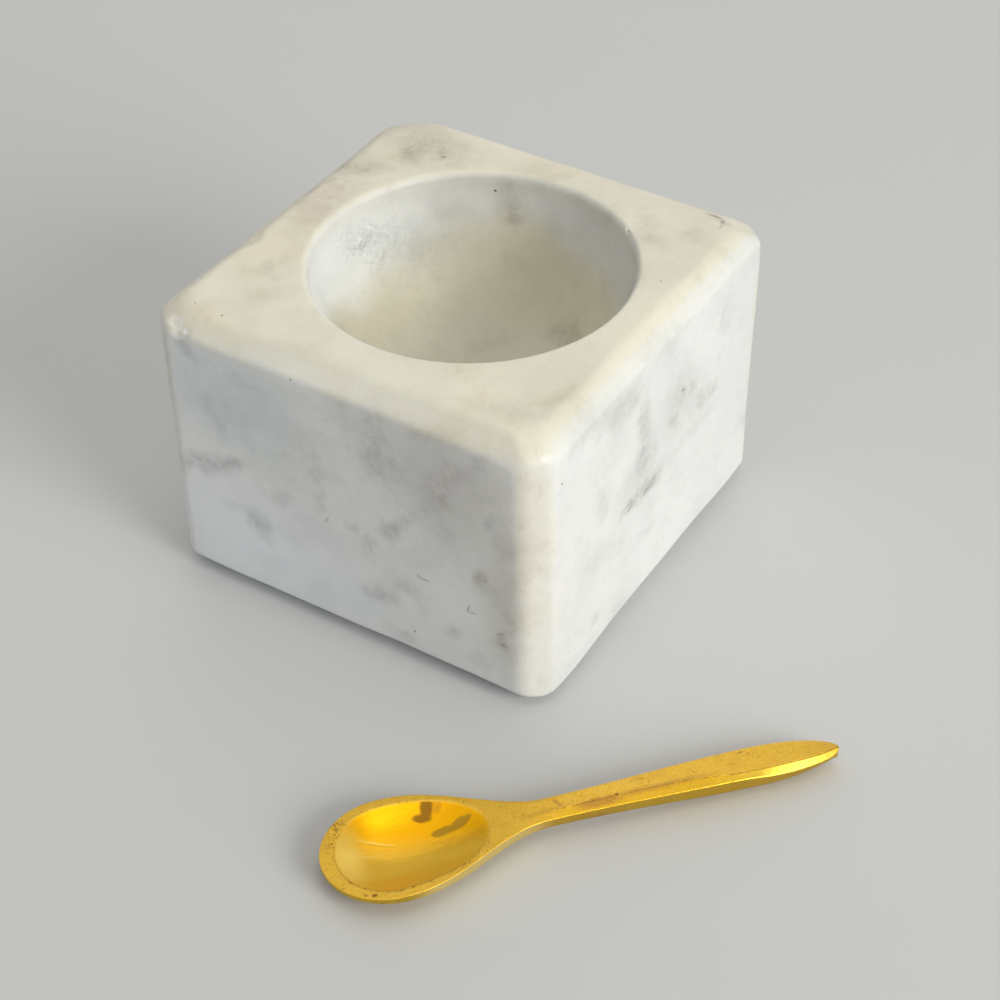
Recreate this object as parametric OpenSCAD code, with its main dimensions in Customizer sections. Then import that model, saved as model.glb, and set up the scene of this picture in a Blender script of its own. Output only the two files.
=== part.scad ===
// Open salt cellar: a square block of white marble with a round bowl turned into its top,
// and the small solid brass spoon that lies on the table in front of it.
// Millimetres, +Z up. The origin is in the middle of the block's underside, on the table.
// The left face in the photograph looks along -Y and the right face along +X.

/* [Block] */
// Width of the square block, from one side face to the other
block_width = 76.2; // [72:0.1:100]
// Height of the block, from the table to its flat top
block_height = 55.3; // [48:0.1:80]
// How far the bevels at the top and the bottom reach in over the flat faces
bevel_reach = 3.3; // [1:0.1:5]
// How far the same bevels come along the side faces
bevel_drop = 3.1; // [1:0.1:6]
// How far the bevels on the four upright edges reach along each side face
corner_bevel = 4.1; // [1:0.1:7]

/* [Salt bowl] */
// Diameter of the round bowl, just under its lip
bowl_diameter = 55; // [40:0.1:60]
// Depth of the bowl below the flat top
bowl_depth = 30; // [16:0.5:42]
// Radius of the eased edge round the bowl
lip_radius = 0.9; // [0.2:0.1:2]
// How far the bowl's middle lies to the right of the block's middle
bowl_offset_x = 1.4; // [-2:0.1:2]
// How far the bowl's middle lies behind the block's middle
bowl_offset_y = 0.4; // [-2:0.1:2]

/* [Spoon plan] */
// Length of the spoon, from the round end of its scoop to the tip of its handle
spoon_length = 85.2; // [78:0.1:110]
// Width of the scoop at its widest place
scoop_width = 20; // [14:0.1:26]
// Distance from the round end to the widest place of the scoop
scoop_reach = 11; // [9:0.1:14]
// Distance from the round end to the neck, where the handle is narrowest
neck_distance = 36.5; // [32:0.1:46]
// Width of the neck
neck_width = 4.6; // [3:0.1:7]
// Width of the handle at its widest place
handle_width = 6.3; // [4:0.1:9]
// Length of the pointed end, from the handle's widest place to its tip
handle_end = 13.7; // [9:0.1:20]
// Width of the small flat that blunts the tip
tip_flat = 0.8; // [0.4:0.1:2]
// Width of the flat rim round the scoop's hollow
rim_width = 2.1; // [1:0.1:3.5]
// Distance from the round end to the far end of the hollow
hollow_end = 26.6; // [20:0.1:30]

/* [Spoon heights] */
// Height of the rim above the table, at the round end
rim_height = 4.1; // [3:0.1:7]
// Height of the rim's outer edge, at the round end
rim_edge = 0.7; // [0.5:0.1:1.5]
// Thickness of the metal under the deepest place of the hollow
scoop_wall = 2.4; // [1:0.1:3]
// Height of the top of the neck above the table
neck_height = 5.1; // [4:0.1:8]
// Thickness of the neck
neck_thickness = 3.1; // [2.6:0.1:3.8]
// Height of the flat side of the neck, which starts beside the hollow
neck_side = 2.5; // [1.4:0.1:3.4]
// Height of the flat side of the handle at its widest place
handle_side = 3.1; // [1.6:0.1:3.8]
// Height of the top of the handle's tip above the table
tip_height = 3.6; // [2.4:0.1:6]
// Thickness of the handle's tip
tip_thickness = 2.6; // [1.8:0.1:2.8]
// Height of the flat side of the tip
tip_side = 2; // [1:0.1:2.4]
// How far the flat sides of the neck and the handle lean in towards the underside
side_lean = 0.5; // [0:0.1:0.9]
// How far the worn top edges of the handle lie below the middle of its top
handle_crown = 0.35; // [0.1:0.05:0.8]

/* [Spoon place] */
// Direction in which the spoon points, counted from +X
spoon_angle = 48.5; // [30:0.5:60]
// Distance from the block's front edge to the spoon's middle line
spoon_gap = 23.2; // [20:0.1:60]
// Distance from the spoon's round end to the place beside the block's front edge
spoon_lead = 42.5; // [20:0.1:70]

/* [Hidden] */
$fn = 96;

marble_color = [0.88, 0.88, 0.85];
brass_color = [0.87, 0.68, 0.22];

// Every cut runs this far past the face that it starts from
overrun = 1;

bowl_radius = bowl_diameter / 2;
// A bowl deeper than its radius is a half ball under a straight wall, and a shallower one is a cap
bowl_ball_radius = bowl_depth >= bowl_radius
    ? bowl_radius
    : (pow(bowl_radius, 2) + pow(bowl_depth, 2)) / (2 * bowl_depth);
bowl_ball_height = block_height - bowl_depth + bowl_ball_radius;

// Places along the spoon where its outline changes from one curve to the next
handle_widest = spoon_length - handle_end;

// Shape of the swing from the scoop's widest place to the neck, over 1 to start it later
scoop_swing_share = 1.07;
// How sharply the handle bends down to its tip
tip_bend_share = 5;
// How full the hollow is, where 1 is a paraboloid and 0.5 half an ellipsoid
hollow_fullness_share = 0.9;
// How round the underside is across the spoon, where 2 is a parabola
belly_round_share = 2.4;
// The most that the sides may lean in, as a part of the outline's half width
lean_limit_share = 0.5;
// Part of the half width that the flat middle of the handle's top takes
crown_share = 0.5;

// Columns of points across the hollow, as shares of its half width
hollow_column_shares = [-1, -0.86, -0.6, -0.3, 0, 0.3, 0.6, 0.86, 1];
// Columns of points across the underside, as shares of its half width
belly_column_shares = [0.92, 0.72, 0.48, 0.24, 0, -0.24, -0.48, -0.72, -0.92];

// Counts of sections in each stretch of the spoon
nose_steps = 3;
bowl_steps = 8;
neck_steps = 5;
handle_steps = 8;
tip_steps = 7;

// Half a cosine wave, which leaves 0 and arrives at 1 level
function swing(x) = (1 - cos(180 * x)) / 2;
// Quarter of an ellipse, 1 at the start and 0 at the end
function arch(x) = sqrt(max(0, 1 - x * x));
// Part of the way from one place to another, kept between 0 and 1
function part(s, from, to) = min(1, max(0, (s - from) / (to - from)));
function mix(a, b, x) = a + (b - a) * x;

// Half the width of the spoon's outline at a distance s from its round end
function half_width(s) = max(tip_flat / 2,
    s < scoop_reach ? scoop_width / 2 * arch(1 - s / scoop_reach)
    : s < neck_distance
        ? mix(scoop_width, neck_width, swing(pow(part(s, scoop_reach, neck_distance), scoop_swing_share))) / 2
    : s < handle_widest
        ? mix(neck_width, handle_width, swing(part(s, neck_distance, handle_widest))) / 2
    : handle_width / 2 * arch(part(s, handle_widest, spoon_length)));

// Height of the middle of the spoon's top above the table
function top_height(s) = s < neck_distance
    ? mix(rim_height, neck_height, sin(90 * s / neck_distance))
    : mix(neck_height, tip_height, pow(part(s, neck_distance, spoon_length), tip_bend_share));

// Height of the spoon's lowest line, which meets the table under the scoop and under the handle
function keel_height(s) = s < scoop_reach
    ? (rim_height - rim_edge) * (1 - arch(1 - s / scoop_reach))
    : s < neck_distance ? (neck_height - neck_thickness) * swing(part(s, scoop_reach, neck_distance))
    : s < handle_widest ? (neck_height - neck_thickness) * (1 - swing(part(s, neck_distance, handle_widest)))
    : (tip_height - tip_thickness) * pow(part(s, handle_widest, spoon_length), 2);

// Height of the flat side: low round the scoop, and taller along the handle
function side_height(s) = s < neck_distance
    ? mix(rim_edge, neck_side, swing(part(s, 0, hollow_end)))
    : s < handle_widest
        ? mix(neck_side, handle_side, swing(part(s, neck_distance, handle_widest)))
    : mix(handle_side, tip_side, pow(part(s, handle_widest, spoon_length), 2));

// How far the side leans in by its lower edge: not at all at the round end
function side_inset(s) = min(side_lean * swing(part(s, 0, hollow_end)), half_width(s) * lean_limit_share);

// The hollow in plan: its place along its own length, from -1 to 1, and its half width
function hollow_place(s) = s < scoop_reach
    ? (s - scoop_reach) / (scoop_reach - rim_width)
    : (s - scoop_reach) / (hollow_end - scoop_reach);
function hollow_half_width(s) = max(tip_flat / 2, (scoop_width / 2 - rim_width) * arch(hollow_place(s)));
function in_hollow(s) = s >= rim_width && s <= hollow_end;
hollow_depth = top_height(scoop_reach) - scoop_wall;
function hollow_drop(s, k) = in_hollow(s)
    ? hollow_depth * pow(max(0, (1 - pow(hollow_place(s), 2)) * (1 - k * k)), hollow_fullness_share)
    : 0;

// The handle's top edges lie lower than its middle, and the scoop's rim is flat
function crown_drop(s) = handle_crown * swing(part(s, hollow_end, neck_distance));
function inner_width(s) = in_hollow(s) ? hollow_half_width(s) : half_width(s) * crown_share;

// One section across the spoon: along its top, down one side, back under its belly and up again
function section(s) = let (w = half_width(s), low_w = w - side_inset(s), top = top_height(s),
        keel = keel_height(s), arris = top - crown_drop(s), edge = top - side_height(s))
    concat(
        [[s, w, arris]],
        [for (k = [len(hollow_column_shares) - 1 : -1 : 0])
            [s, inner_width(s) * hollow_column_shares[k], top - hollow_drop(s, hollow_column_shares[k])]],
        [[s, -w, arris], [s, -low_w, edge]],
        [for (k = [len(belly_column_shares) - 1 : -1 : 0])
            [s, low_w * belly_column_shares[k],
                mix(keel, edge, pow(abs(belly_column_shares[k]), belly_round_share))]],
        [[s, low_w, edge]]);

// Places of the sections, closer together where the outline turns
stations = concat(
    [for (i = [0 : nose_steps - 1]) rim_width * pow(i / nose_steps, 2)],
    [for (i = [0 : bowl_steps - 1]) scoop_reach - (scoop_reach - rim_width) * cos(90 * i / bowl_steps)],
    [for (i = [0 : bowl_steps]) scoop_reach + (hollow_end - scoop_reach) * sin(90 * i / bowl_steps)],
    [for (i = [1 : neck_steps]) mix(hollow_end, neck_distance, i / neck_steps)],
    [for (i = [1 : handle_steps]) mix(neck_distance, handle_widest, i / handle_steps)],
    [for (i = [1 : tip_steps]) handle_widest + handle_end * sin(90 * i / tip_steps)]);

// A closed solid through a list of sections that have as many points each, half of them on top.
// Each end is closed by a strip from the points on top to the ones below them.
module skin(sections) {
    rows = len(sections);
    count = len(sections[0]);
    last = (rows - 1) * count;
    sides = [for (i = [0 : rows - 2], j = [0 : count - 1])
        let (a = i * count + j, b = i * count + (j + 1) % count)
            each [[a, b, b + count], [a, b + count, a + count]]];
    ends = [for (j = [0 : count / 2 - 2])
        let (a = j, b = j + 1, c = count - 2 - j, d = count - 1 - j)
            each [[d, b, a], [d, c, b], [last + a, last + b, last + d], [last + b, last + c, last + d]]];
    polyhedron(points = [for (one = sections) each one], faces = concat(sides, ends));
}

// A rectangle standing on the line y = 0 with its four corners cut off
module bevelled_rectangle(width, height, across, along) {
    polygon([
        [-width / 2, along], [-width / 2 + across, 0],
        [width / 2 - across, 0], [width / 2, along],
        [width / 2, height - along], [width / 2 - across, height],
        [-width / 2 + across, height], [-width / 2, height - along]]);
}

// The block before its bowl is cut: the shape that all three views allow
module bevelled_block() {
    intersection() {
        translate([0, -block_width / 2, 0])
            linear_extrude(block_height)
                bevelled_rectangle(block_width, block_width, corner_bevel, corner_bevel);
        rotate([90, 0, 0])
            linear_extrude(block_width, center = true)
                bevelled_rectangle(block_width, block_height, bevel_reach, bevel_drop);
        rotate([90, 0, 90])
            linear_extrude(block_width, center = true)
                bevelled_rectangle(block_width, block_height, bevel_reach, bevel_drop);
    }
}

// What the easing takes off the lip: a ring whose inner side is a quarter round
module lip_easing() {
    rotate_extrude()
        translate([bowl_radius, block_height - lip_radius])
            difference() {
                translate([-overrun, 0])
                    square([lip_radius + overrun, lip_radius + overrun]);
                translate([lip_radius, 0])
                    circle(r = lip_radius);
            }
}

// The space inside the bowl
module bowl_space() {
    intersection() {
        translate([0, 0, bowl_ball_height])
            sphere(r = bowl_ball_radius);
        translate([0, 0, bowl_ball_height - bowl_ball_radius - overrun])
            cylinder(r = bowl_ball_radius + overrun,
                h = min(bowl_ball_radius, bowl_depth) + overrun);
    }
    if (bowl_depth > bowl_radius)
        translate([0, 0, bowl_ball_height])
            cylinder(r = bowl_radius, h = bowl_depth - bowl_radius + overrun);
    else
        translate([0, 0, block_height])
            cylinder(r = bowl_radius, h = overrun);
}

module marble_block() {
    color(marble_color)
        difference() {
            bevelled_block();
            translate([bowl_offset_x, bowl_offset_y, 0]) {
                bowl_space();
                lip_easing();
            }
        }
}

module spoon() {
    color(brass_color)
        translate([block_width / 2, -block_width / 2, 0])
            rotate([0, 0, spoon_angle])
                translate([-spoon_lead, -spoon_gap, 0])
                    skin([for (s = stations) section(s)]);
}

marble_block();
spoon();
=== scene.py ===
import math

import bmesh
import bpy
import numpy as np
from mathutils import Matrix, Vector


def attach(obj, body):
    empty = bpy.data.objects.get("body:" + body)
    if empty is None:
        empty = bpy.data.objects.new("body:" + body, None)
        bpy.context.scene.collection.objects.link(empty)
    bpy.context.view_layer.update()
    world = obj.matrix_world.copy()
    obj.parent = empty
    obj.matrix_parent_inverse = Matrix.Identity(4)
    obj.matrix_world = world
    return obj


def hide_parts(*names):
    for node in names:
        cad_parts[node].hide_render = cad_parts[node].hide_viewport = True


# The salt cellar: a hand-cut block of white marble with a round bowl, and a small brass spoon.
# Metres, in the frame of the CAD. Sizes named in millimetres are turned to metres by MM.

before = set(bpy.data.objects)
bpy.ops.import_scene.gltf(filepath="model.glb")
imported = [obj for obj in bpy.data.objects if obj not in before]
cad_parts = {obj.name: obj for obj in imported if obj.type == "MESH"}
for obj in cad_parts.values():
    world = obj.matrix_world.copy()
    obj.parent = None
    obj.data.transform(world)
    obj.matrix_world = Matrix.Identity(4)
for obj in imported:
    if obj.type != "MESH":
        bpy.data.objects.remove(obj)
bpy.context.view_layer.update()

MM = 0.001

# Sizes of the block, in millimetres, as in the CAD
HALF = 38.1
HEIGHT = 55.3
BEVEL_REACH = 3.3
BEVEL_DROP = 3.1
BOWL_RADIUS = 27.5
BOWL_DEPTH = 30.0
BOWL_X = 1.4
BOWL_Y = 0.4
# All of the bowl lies above this height, and nothing of the underside does
BOWL_FROM = 24.0

# The photograph's camera, fitted to the block's edges
CAMERA_AZIMUTH = 32.4768
CAMERA_ELEVATION = 40.6333
CAMERA_ROLL = -0.89908
CAMERA_DISTANCE = 0.396366
CAMERA_ASIDE = (0.005423, -0.000392)
CAMERA_AIM_HEIGHT = 0.002934
FOCAL_PIXELS = 2171.497
PHOTO_PIXELS = 1000
SENSOR = 36.0


class Made:
    """A node that was just added. Its outputs are taken by name or by number."""

    def __init__(self, bench, node):
        self.bench, self.node = bench, node

    def __getitem__(self, name):
        return Wired(self.bench, self.node.outputs[name])


def sign(operation, swapped=False):
    """What a sign between two values does: it adds the Math node for it."""
    def combine(own, other):
        return own.bench.math(operation, *((other, own) if swapped else (own, other)))

    return combine


class Wired:
    """One output of a node. A sum written with it adds the Math nodes for that sum."""

    __add__ = __radd__ = sign("ADD")
    __sub__, __rsub__ = sign("SUBTRACT"), sign("SUBTRACT", swapped=True)
    __mul__ = __rmul__ = sign("MULTIPLY")
    __truediv__, __pow__ = sign("DIVIDE"), sign("POWER")

    def __init__(self, bench, socket):
        self.bench, self.socket = bench, socket

    def __neg__(self):
        return self * -1.0

    def __abs__(self):
        return self.bench.math("ABSOLUTE", self)


class Bench:
    """Writes the nodes of one tree."""

    def __init__(self, tree):
        self.tree = tree

    def node(self, kind, settings=None, sockets=None):
        """Adds a node, sets what it is, then sets or links its sockets."""
        made = self.tree.nodes.new(kind)
        for name, value in (settings or {}).items():
            setattr(made, name, value)
        for name, value in (sockets or {}).items():
            self.feed(made.inputs[name], value)
        return Made(self, made)

    def feed(self, socket, value):
        """Links one socket, or sets it."""
        if isinstance(value, Wired):
            self.tree.links.new(value.socket, socket)
        elif socket.type == "RGBA":
            socket.default_value = (*value, 1.0)
        else:
            socket.default_value = value

    def math(self, operation, *values, clamp=False):
        settings = {"operation": operation, "use_clamp": clamp}
        return self.node("ShaderNodeMath", settings, dict(enumerate(values)))["Value"]

    def least(self, a, b):
        return self.math("MINIMUM", a, b)

    def most(self, first, *others):
        for other in others:
            first = self.math("MAXIMUM", first, other)
        return first

    def part(self, x, start, end):
        """Part of the way of x from start to end, kept between 0 and 1."""
        return self.math("DIVIDE", x - start, end - start, clamp=True)

    def smooth(self, x, start, end):
        """0 at start, 1 at end, level at both."""
        settings = {"interpolation_type": "SMOOTHSTEP"}
        sockets = {"Value": x, "From Min": start, "From Max": end}
        return self.node("ShaderNodeMapRange", settings, sockets)["Result"]

    def mix_color(self, share, a, b, blend="MIX"):
        settings = {"data_type": "RGBA", "blend_type": blend, "clamp_factor": True}
        return self.node("ShaderNodeMix", settings, {0: share, 6: a, 7: b})[2]

    def vector(self, operation, *values, out="Vector"):
        settings = {"operation": operation}
        return self.node("ShaderNodeVectorMath", settings, dict(enumerate(values)))[out]

    def scaled(self, vector, size):
        sockets = {0: vector, "Scale": size}
        return self.node("ShaderNodeVectorMath", {"operation": "SCALE"}, sockets)["Vector"]

    def place(self, vector, location=(0, 0, 0), rotation=(0, 0, 0), scale=(1, 1, 1), kind="POINT"):
        sockets = {"Vector": vector, "Location": location, "Rotation": rotation, "Scale": scale}
        return self.node("ShaderNodeMapping", {"vector_type": kind}, sockets)["Vector"]

    def grain(self, vector, scale, detail, rough, out=0):
        """A noise texture, from 0 to 1 and 0.5 on average."""
        sockets = {"Vector": vector, "Scale": scale, "Detail": detail, "Roughness": rough}
        return self.node("ShaderNodeTexNoise", {}, sockets)[out]

    def parts(self, vector):
        """The x, y and z of a vector."""
        made = self.node("ShaderNodeSeparateXYZ", {}, {"Vector": vector})
        return made["X"], made["Y"], made["Z"]

    def curve(self, x, points):
        """The height of a bent line at x, through the points given."""
        made = self.node("ShaderNodeFloatCurve", {}, {"Value": x})
        line = made.node.mapping.curves[0]
        for point, place in zip(line.points, (points[0], points[-1])):
            point.location = place
        for place in points[1:-1]:
            line.points.new(*place)
        for point in line.points:
            point.handle_type = "AUTO_CLAMPED"
        made.node.mapping.update()
        return made["Value"]

    def mark(self, name):
        """A value that is written on the mesh's points."""
        return self.node("ShaderNodeAttribute", {"attribute_name": name})["Fac"]

    def shaped(self, kind, geometry, **sockets):
        """A geometry node that takes a geometry and gives it on."""
        return self.node("GeometryNode" + kind, {}, {"Geometry": geometry, **sockets})["Geometry"]


class Paint:
    """A color that others are laid over, by their names in a palette."""

    def __init__(self, bench, palette, color):
        self.bench, self.palette, self.color = bench, palette, color

    def over(self, share, shade, blend="MIX"):
        shade = self.palette.get(shade, shade)
        self.color = self.bench.mix_color(share, self.color, shade, blend)


def new_object(name, data):
    made = bpy.data.objects.new(name, data)
    bpy.context.scene.collection.objects.link(made)
    return made


def eased(x):
    """A share from 0 to 1, level at both ends."""
    return x * x * (3 - 2 * x)


def easing(x, soft):
    """0 below -soft, x above soft, and a parabola between them."""
    bent = np.clip(x, -soft, soft)
    return np.where(x > soft, x, (bent + soft) ** 2 / (4 * soft))


def round_path(p, corners, softness):
    """Points at the distances p along a bent line whose corners are eased."""
    legs = [b - a for a, b in zip(corners[:-1], corners[1:])]
    lengths = [np.maximum(np.linalg.norm(leg, axis=-1, keepdims=True), 1e-9) for leg in legs]
    ways = [leg / length for leg, length in zip(legs, lengths)]
    where = corners[0] + ways[0] * p
    passed = lengths[0]
    for way, before, soft, length in zip(ways[1:], ways[:-1], softness, lengths[1:]):
        where = where + (way - before) * easing(p - passed, soft)
        passed = passed + length
    return where


# Points that a full turn's wandering is measured at, and how fast its shorter waves weaken
WAVER_POINTS = 720
WAVER_FALL = 0.6


def waver(turn, seed, size, low, high):
    """A hand-cut line's wandering, from 0 to size, the same after each full turn."""
    random = np.random.default_rng(seed)
    whole = np.linspace(0, 2 * np.pi, WAVER_POINTS)
    total, full = np.zeros_like(turn), np.zeros_like(whole)
    for count in range(low, high):
        strength, start = random.normal() / count**WAVER_FALL, random.uniform(0, 2 * np.pi)
        total += strength * np.sin(count * turn + start)
        full += strength * np.sin(count * whole + start)
    return size * np.clip((total - full.min()) / (full.max() - full.min()), 0, 1)


# Columns of points along one side of the block, and those on half its flat and on half an arris
SIDE_STEPS = 144
HALF_STEPS = SIDE_STEPS // 2
FLAT_STEPS = 59
ARRIS_STEPS = 7
# Reach of the bevel at the start and the end of each side: front, right, back, left
CORNER_REACH = ((3.9, 3.7), (4.3, 3.0), (3.4, 4.1), (4.2, 3.9))
CORNER_EASE = ((1.3, 1.8), (1.4, 0.8), (0.9, 1.2), (1.2, 1.3))
UPRIGHT_BEVEL = 4.1
CORNER_SUM = 2 * HALF - UPRIGHT_BEVEL
# The least that each corner of the block is rubbed off, and how much more where its top was worn
CORNER_RUB = (3.2, 2.4, 2.6, 3.2)
CORNER_WEAR = (0.4, 0.4, 1.8, 3.4)
# The height where that wear starts and the height it takes to be full
WEAR_FROM, WEAR_OVER = 46, 9
# How softly the two limits of a corner pass into each other
CORNER_BLEND = 1.2
# How much wider each upright bevel is at its foot than at the height where that starts
CORNER_TAPER = (0.0, 0.0, 0.28, 0.0)
TAPER_HEIGHT = 45
# How the upright edges sway: share of the bevel, millimetres up to a radian, and start per corner
EDGE_SWAYS = ((0.03, 7.3, 2.1), (0.02, 2.9, 1))
# Where the outermost ring of the flat top lies, inside the top bevels
TOP_EDGE = 31.4
# How the bevels' lines waver round the block: seed of the draw, size, and least and most waves
TOP_REACH_WAVER = (11, 0.5, 2, 22)
TOP_DROP_WAVER = (12, 0.55, 2, 26)
LOW_DROP_WAVER = (13, 0.5, 2, 24)
LOW_REACH_WAVER = (14, 0.4, 2, 20)
# How soft the two lines of each top and low bevel are, and how much softer near a corner
LINE_SOFTNESS = (1.2, 0.8, 0.6, 0.8)
CORNER_SOFTNESS = (0.8, 1.1, 0.9, 0.6)
CORNER_NEAR = 4.5
# Where the top bevel dips and the low one is worn away: turn and spread in radians, and how much
TOP_DIP = (0.67, 0.26, 0.9)
WORN_FOOT = (0.95, 0.25, 1.1)
# How far round the bends of the top and low bevels the rows of points are closer together
TOP_BEND, LOW_BEND = 1.6, 1.2


def side_line(side, half, height, share):
    """Points on one side of the block, at the half width, height and share along it given."""
    end = (share > 0).astype(int)
    reach = np.asarray(CORNER_REACH[side])[end]
    other = np.where(end == 1, CORNER_REACH[(side + 1) % 4][0], CORNER_REACH[(side + 3) % 4][1])
    ease = np.asarray(CORNER_EASE[side])[end]
    corner = (side + end) % 4
    sway = sum(size * np.sin(height / wave + start * corner) for size, wave, start in EDGE_SWAYS)
    high = np.clip((height - WEAR_FROM) / WEAR_OVER, 0, 1) ** 2
    least = np.asarray(CORNER_RUB)[corner] + np.asarray(CORNER_WEAR)[corner] * high
    room = (least + easing(2 * half - CORNER_SUM - least, CORNER_BLEND)) / UPRIGHT_BEVEL
    sway = np.where(end == 1, sway, -sway)
    taper = np.asarray(CORNER_TAPER)[corner]
    room = room * (1 + taper * np.clip(1 - height / TAPER_HEIGHT, 0, 1))
    own, far = reach * room * (1 + sway), other * room * (1 - sway)
    flat = half - own
    across = np.hypot(own, far) / 2
    ease = np.minimum(ease * (1 + 0.5 * high), 0.85 * across)
    index = np.abs(share) * HALF_STEPS
    p = (flat - ease) * np.clip(index / FLAT_STEPS, 0, 1)
    p = p + 2 * ease * np.clip((index - FLAT_STEPS) / ARRIS_STEPS, 0, 1)
    first = FLAT_STEPS + ARRIS_STEPS
    p = p + (across - ease) * np.clip((index - first) / (HALF_STEPS - first), 0, 1)
    over = easing(p - flat, ease)
    x = p - over * (1 - own / (2 * across))
    y = -half + over * far / (2 * across)
    turn = np.radians(90 * side)
    x, c, s = np.where(share < 0, -x, x), np.cos(turn), np.sin(turn)
    return np.stack([x * c - y * s, x * s + y * c, height], -1)


def meridian_rows():
    """Distances down the outside of the block, closer together where it bends."""
    top, slope = HALF - BEVEL_REACH - TOP_EDGE, math.hypot(BEVEL_REACH, BEVEL_DROP)
    wall = HEIGHT - 2 * BEVEL_DROP
    low = top + 2 * slope + wall
    # Each stretch: where it starts, and its rows
    marks = [(0, 2), (top - TOP_BEND, 12), (top + slope - TOP_BEND, 12),
             (top + slope + TOP_BEND, 56), (low - slope - LOW_BEND, 10), (low - LOW_BEND, 9),
             (low + LOW_BEND, 1), (low + top, 0)]
    rows = []
    for (start, steps), (end, _) in zip(marks, marks[1:]):
        rows += list(np.linspace(start, end, steps, endpoint=False))
    return np.array(rows + [low + top])


def way_along(side, share):
    """The share of the real length along a side that each column lies at, from -1 to 1."""
    whole = np.append(share, 1.0)
    line = side_line(side, HALF, np.full(whole.shape, HEIGHT / 2), whole)
    gone = np.concatenate([[0], np.cumsum(np.linalg.norm(np.diff(line, axis=0), axis=1))])
    gone -= gone[HALF_STEPS]
    return np.where(gone < 0, gone / -gone[0], gone / gone[-1])[:-1]


def outer_skin():
    """Rings of points down the outside: an array of rows, each once round the block."""
    share = np.arange(-HALF_STEPS, HALF_STEPS) / HALF_STEPS
    rows = meridian_rows()
    rings = []
    for side in range(4):
        way = way_along(side, share)
        turn = np.pi / 4 * way + side * np.pi / 2
        dip, worn = (size * np.exp(-(((turn - middle) / spread) ** 2))
                     for middle, spread, size in (TOP_DIP, WORN_FOOT))
        near_corner = np.exp(-(((1 - np.abs(way)) * HALF / CORNER_NEAR) ** 2))[:, None]
        reach = BEVEL_REACH + waver(turn, *TOP_REACH_WAVER)
        drop = BEVEL_DROP - 0.3 + waver(turn, *TOP_DROP_WAVER) + dip
        low_drop = BEVEL_DROP - 0.1 + waver(turn, *LOW_DROP_WAVER) - worn
        low_reach = BEVEL_REACH + waver(turn, *LOW_REACH_WAVER)
        pairs = [(TOP_EDGE, HEIGHT), (HALF - reach, HEIGHT), (HALF, HEIGHT - drop)]
        pairs += [(HALF, low_drop), (HALF - low_reach, 0), (TOP_EDGE, 0)]
        corners = [np.stack([out + 0 * turn, up + 0 * turn], -1) for out, up in pairs]
        softness = [a + b * near_corner for a, b in zip(LINE_SOFTNESS, CORNER_SOFTNESS)]
        line = np.stack([round_path(p, corners, softness) for p in rows])
        half, height = line[..., 0], line[..., 1]
        rings.append(side_line(side, half, height, np.broadcast_to(share, half.shape)))
    return np.concatenate(rings, 1)


# Rings of the top's grid: the ball of the bowl, its straight wall and its lip. The rest are flat.
BALL_RINGS = 50
WALL_RINGS = 2
LIP_RINGS = 8
# How far below the top the lip starts to turn outwards, how far out it goes, and how much
# farther where it is most worn, at a turn in degrees
LIP_DROP, LIP_REACH = 1.3, 0.9
LIP_WEAR, LIP_WORN_AT = 0.4, 150


def bowl_point(u, v):
    """A point of the bowl's ball, from a place in the square that it is drawn on."""
    x, y = u * np.sqrt(1 - v * v / 2), v * np.sqrt(1 - u * u / 2)
    far = np.hypot(x, y)
    angle = far * np.pi / 2
    ring = BOWL_RADIUS * np.sin(angle) / np.maximum(far, 1e-9)
    z = HEIGHT - BOWL_DEPTH + BOWL_RADIUS * (1 - np.cos(angle))
    return np.stack([BOWL_X + x * ring, BOWL_Y + y * ring, z], -1)


def top_skin(outline):
    """The grid of the top and the bowl in it, out to the outline given."""
    n = HALF_STEPS
    i, j = np.meshgrid(np.arange(-n, n + 1), np.arange(-n, n + 1), indexing="ij")
    ring = np.maximum(np.abs(i), np.abs(j))
    grid = np.zeros((2 * n + 1, 2 * n + 1, 3))
    ball = ring <= BALL_RINGS
    grid[ball] = bowl_point(i[ball] / BALL_RINGS, j[ball] / BALL_RINGS)
    wall_end = HEIGHT - LIP_DROP
    ball_top = HEIGHT - BOWL_DEPTH + BOWL_RADIUS
    lip_start, lip_end = BALL_RINGS + WALL_RINGS, BALL_RINGS + WALL_RINGS + LIP_RINGS
    closed = np.concatenate([outline, outline[:1]])
    steps = np.linspace(0, 4, len(closed))
    for k in range(BALL_RINGS + 1, n + 1):
        here = ring == k
        a, b = i[here], j[here]
        sides = [(b == -k) & (a < k), (a == k) & (b < k), (b == k) & (a > -k)]
        side = np.select(sides, [0, 1, 2], 3)
        along = np.select([side == 0, side == 1, side == 2], [a, b, -a], -b) / k
        angle = np.arcsin(along / np.sqrt(2)) + side * np.pi / 2 - np.pi / 2
        up_wall = min((k - BALL_RINGS) / WALL_RINGS, 1)
        turn = np.pi / 2 * np.clip((k - lip_start) / LIP_RINGS, 0, 1)
        outward = max((k - lip_end) / (n - lip_end), 0)
        soft = LIP_REACH + LIP_WEAR * (1 + np.cos(angle - np.radians(LIP_WORN_AT))) / 2
        radius = BOWL_RADIUS + soft * (1 - np.cos(turn))
        z = ball_top + (wall_end - ball_top) * up_wall + LIP_DROP * np.sin(turn) + 0 * angle
        x, y = BOWL_X + radius * np.cos(angle), BOWL_Y + radius * np.sin(angle)
        place = side + (along + 1) / 2
        x, y = (v + (np.interp(place, steps, closed[:, c]) - v) * outward
                for c, v in enumerate((x, y)))
        grid[here] = np.stack([x, y, z], -1)
    return grid


# Cells of the noise before it repeats, what sets its layers apart, and how much it is raised
NOISE_CELLS = 16
NOISE_SEED_STEP, NOISE_SHIFT = 97, 7.3
NOISE_GAIN = 1.6


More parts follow.
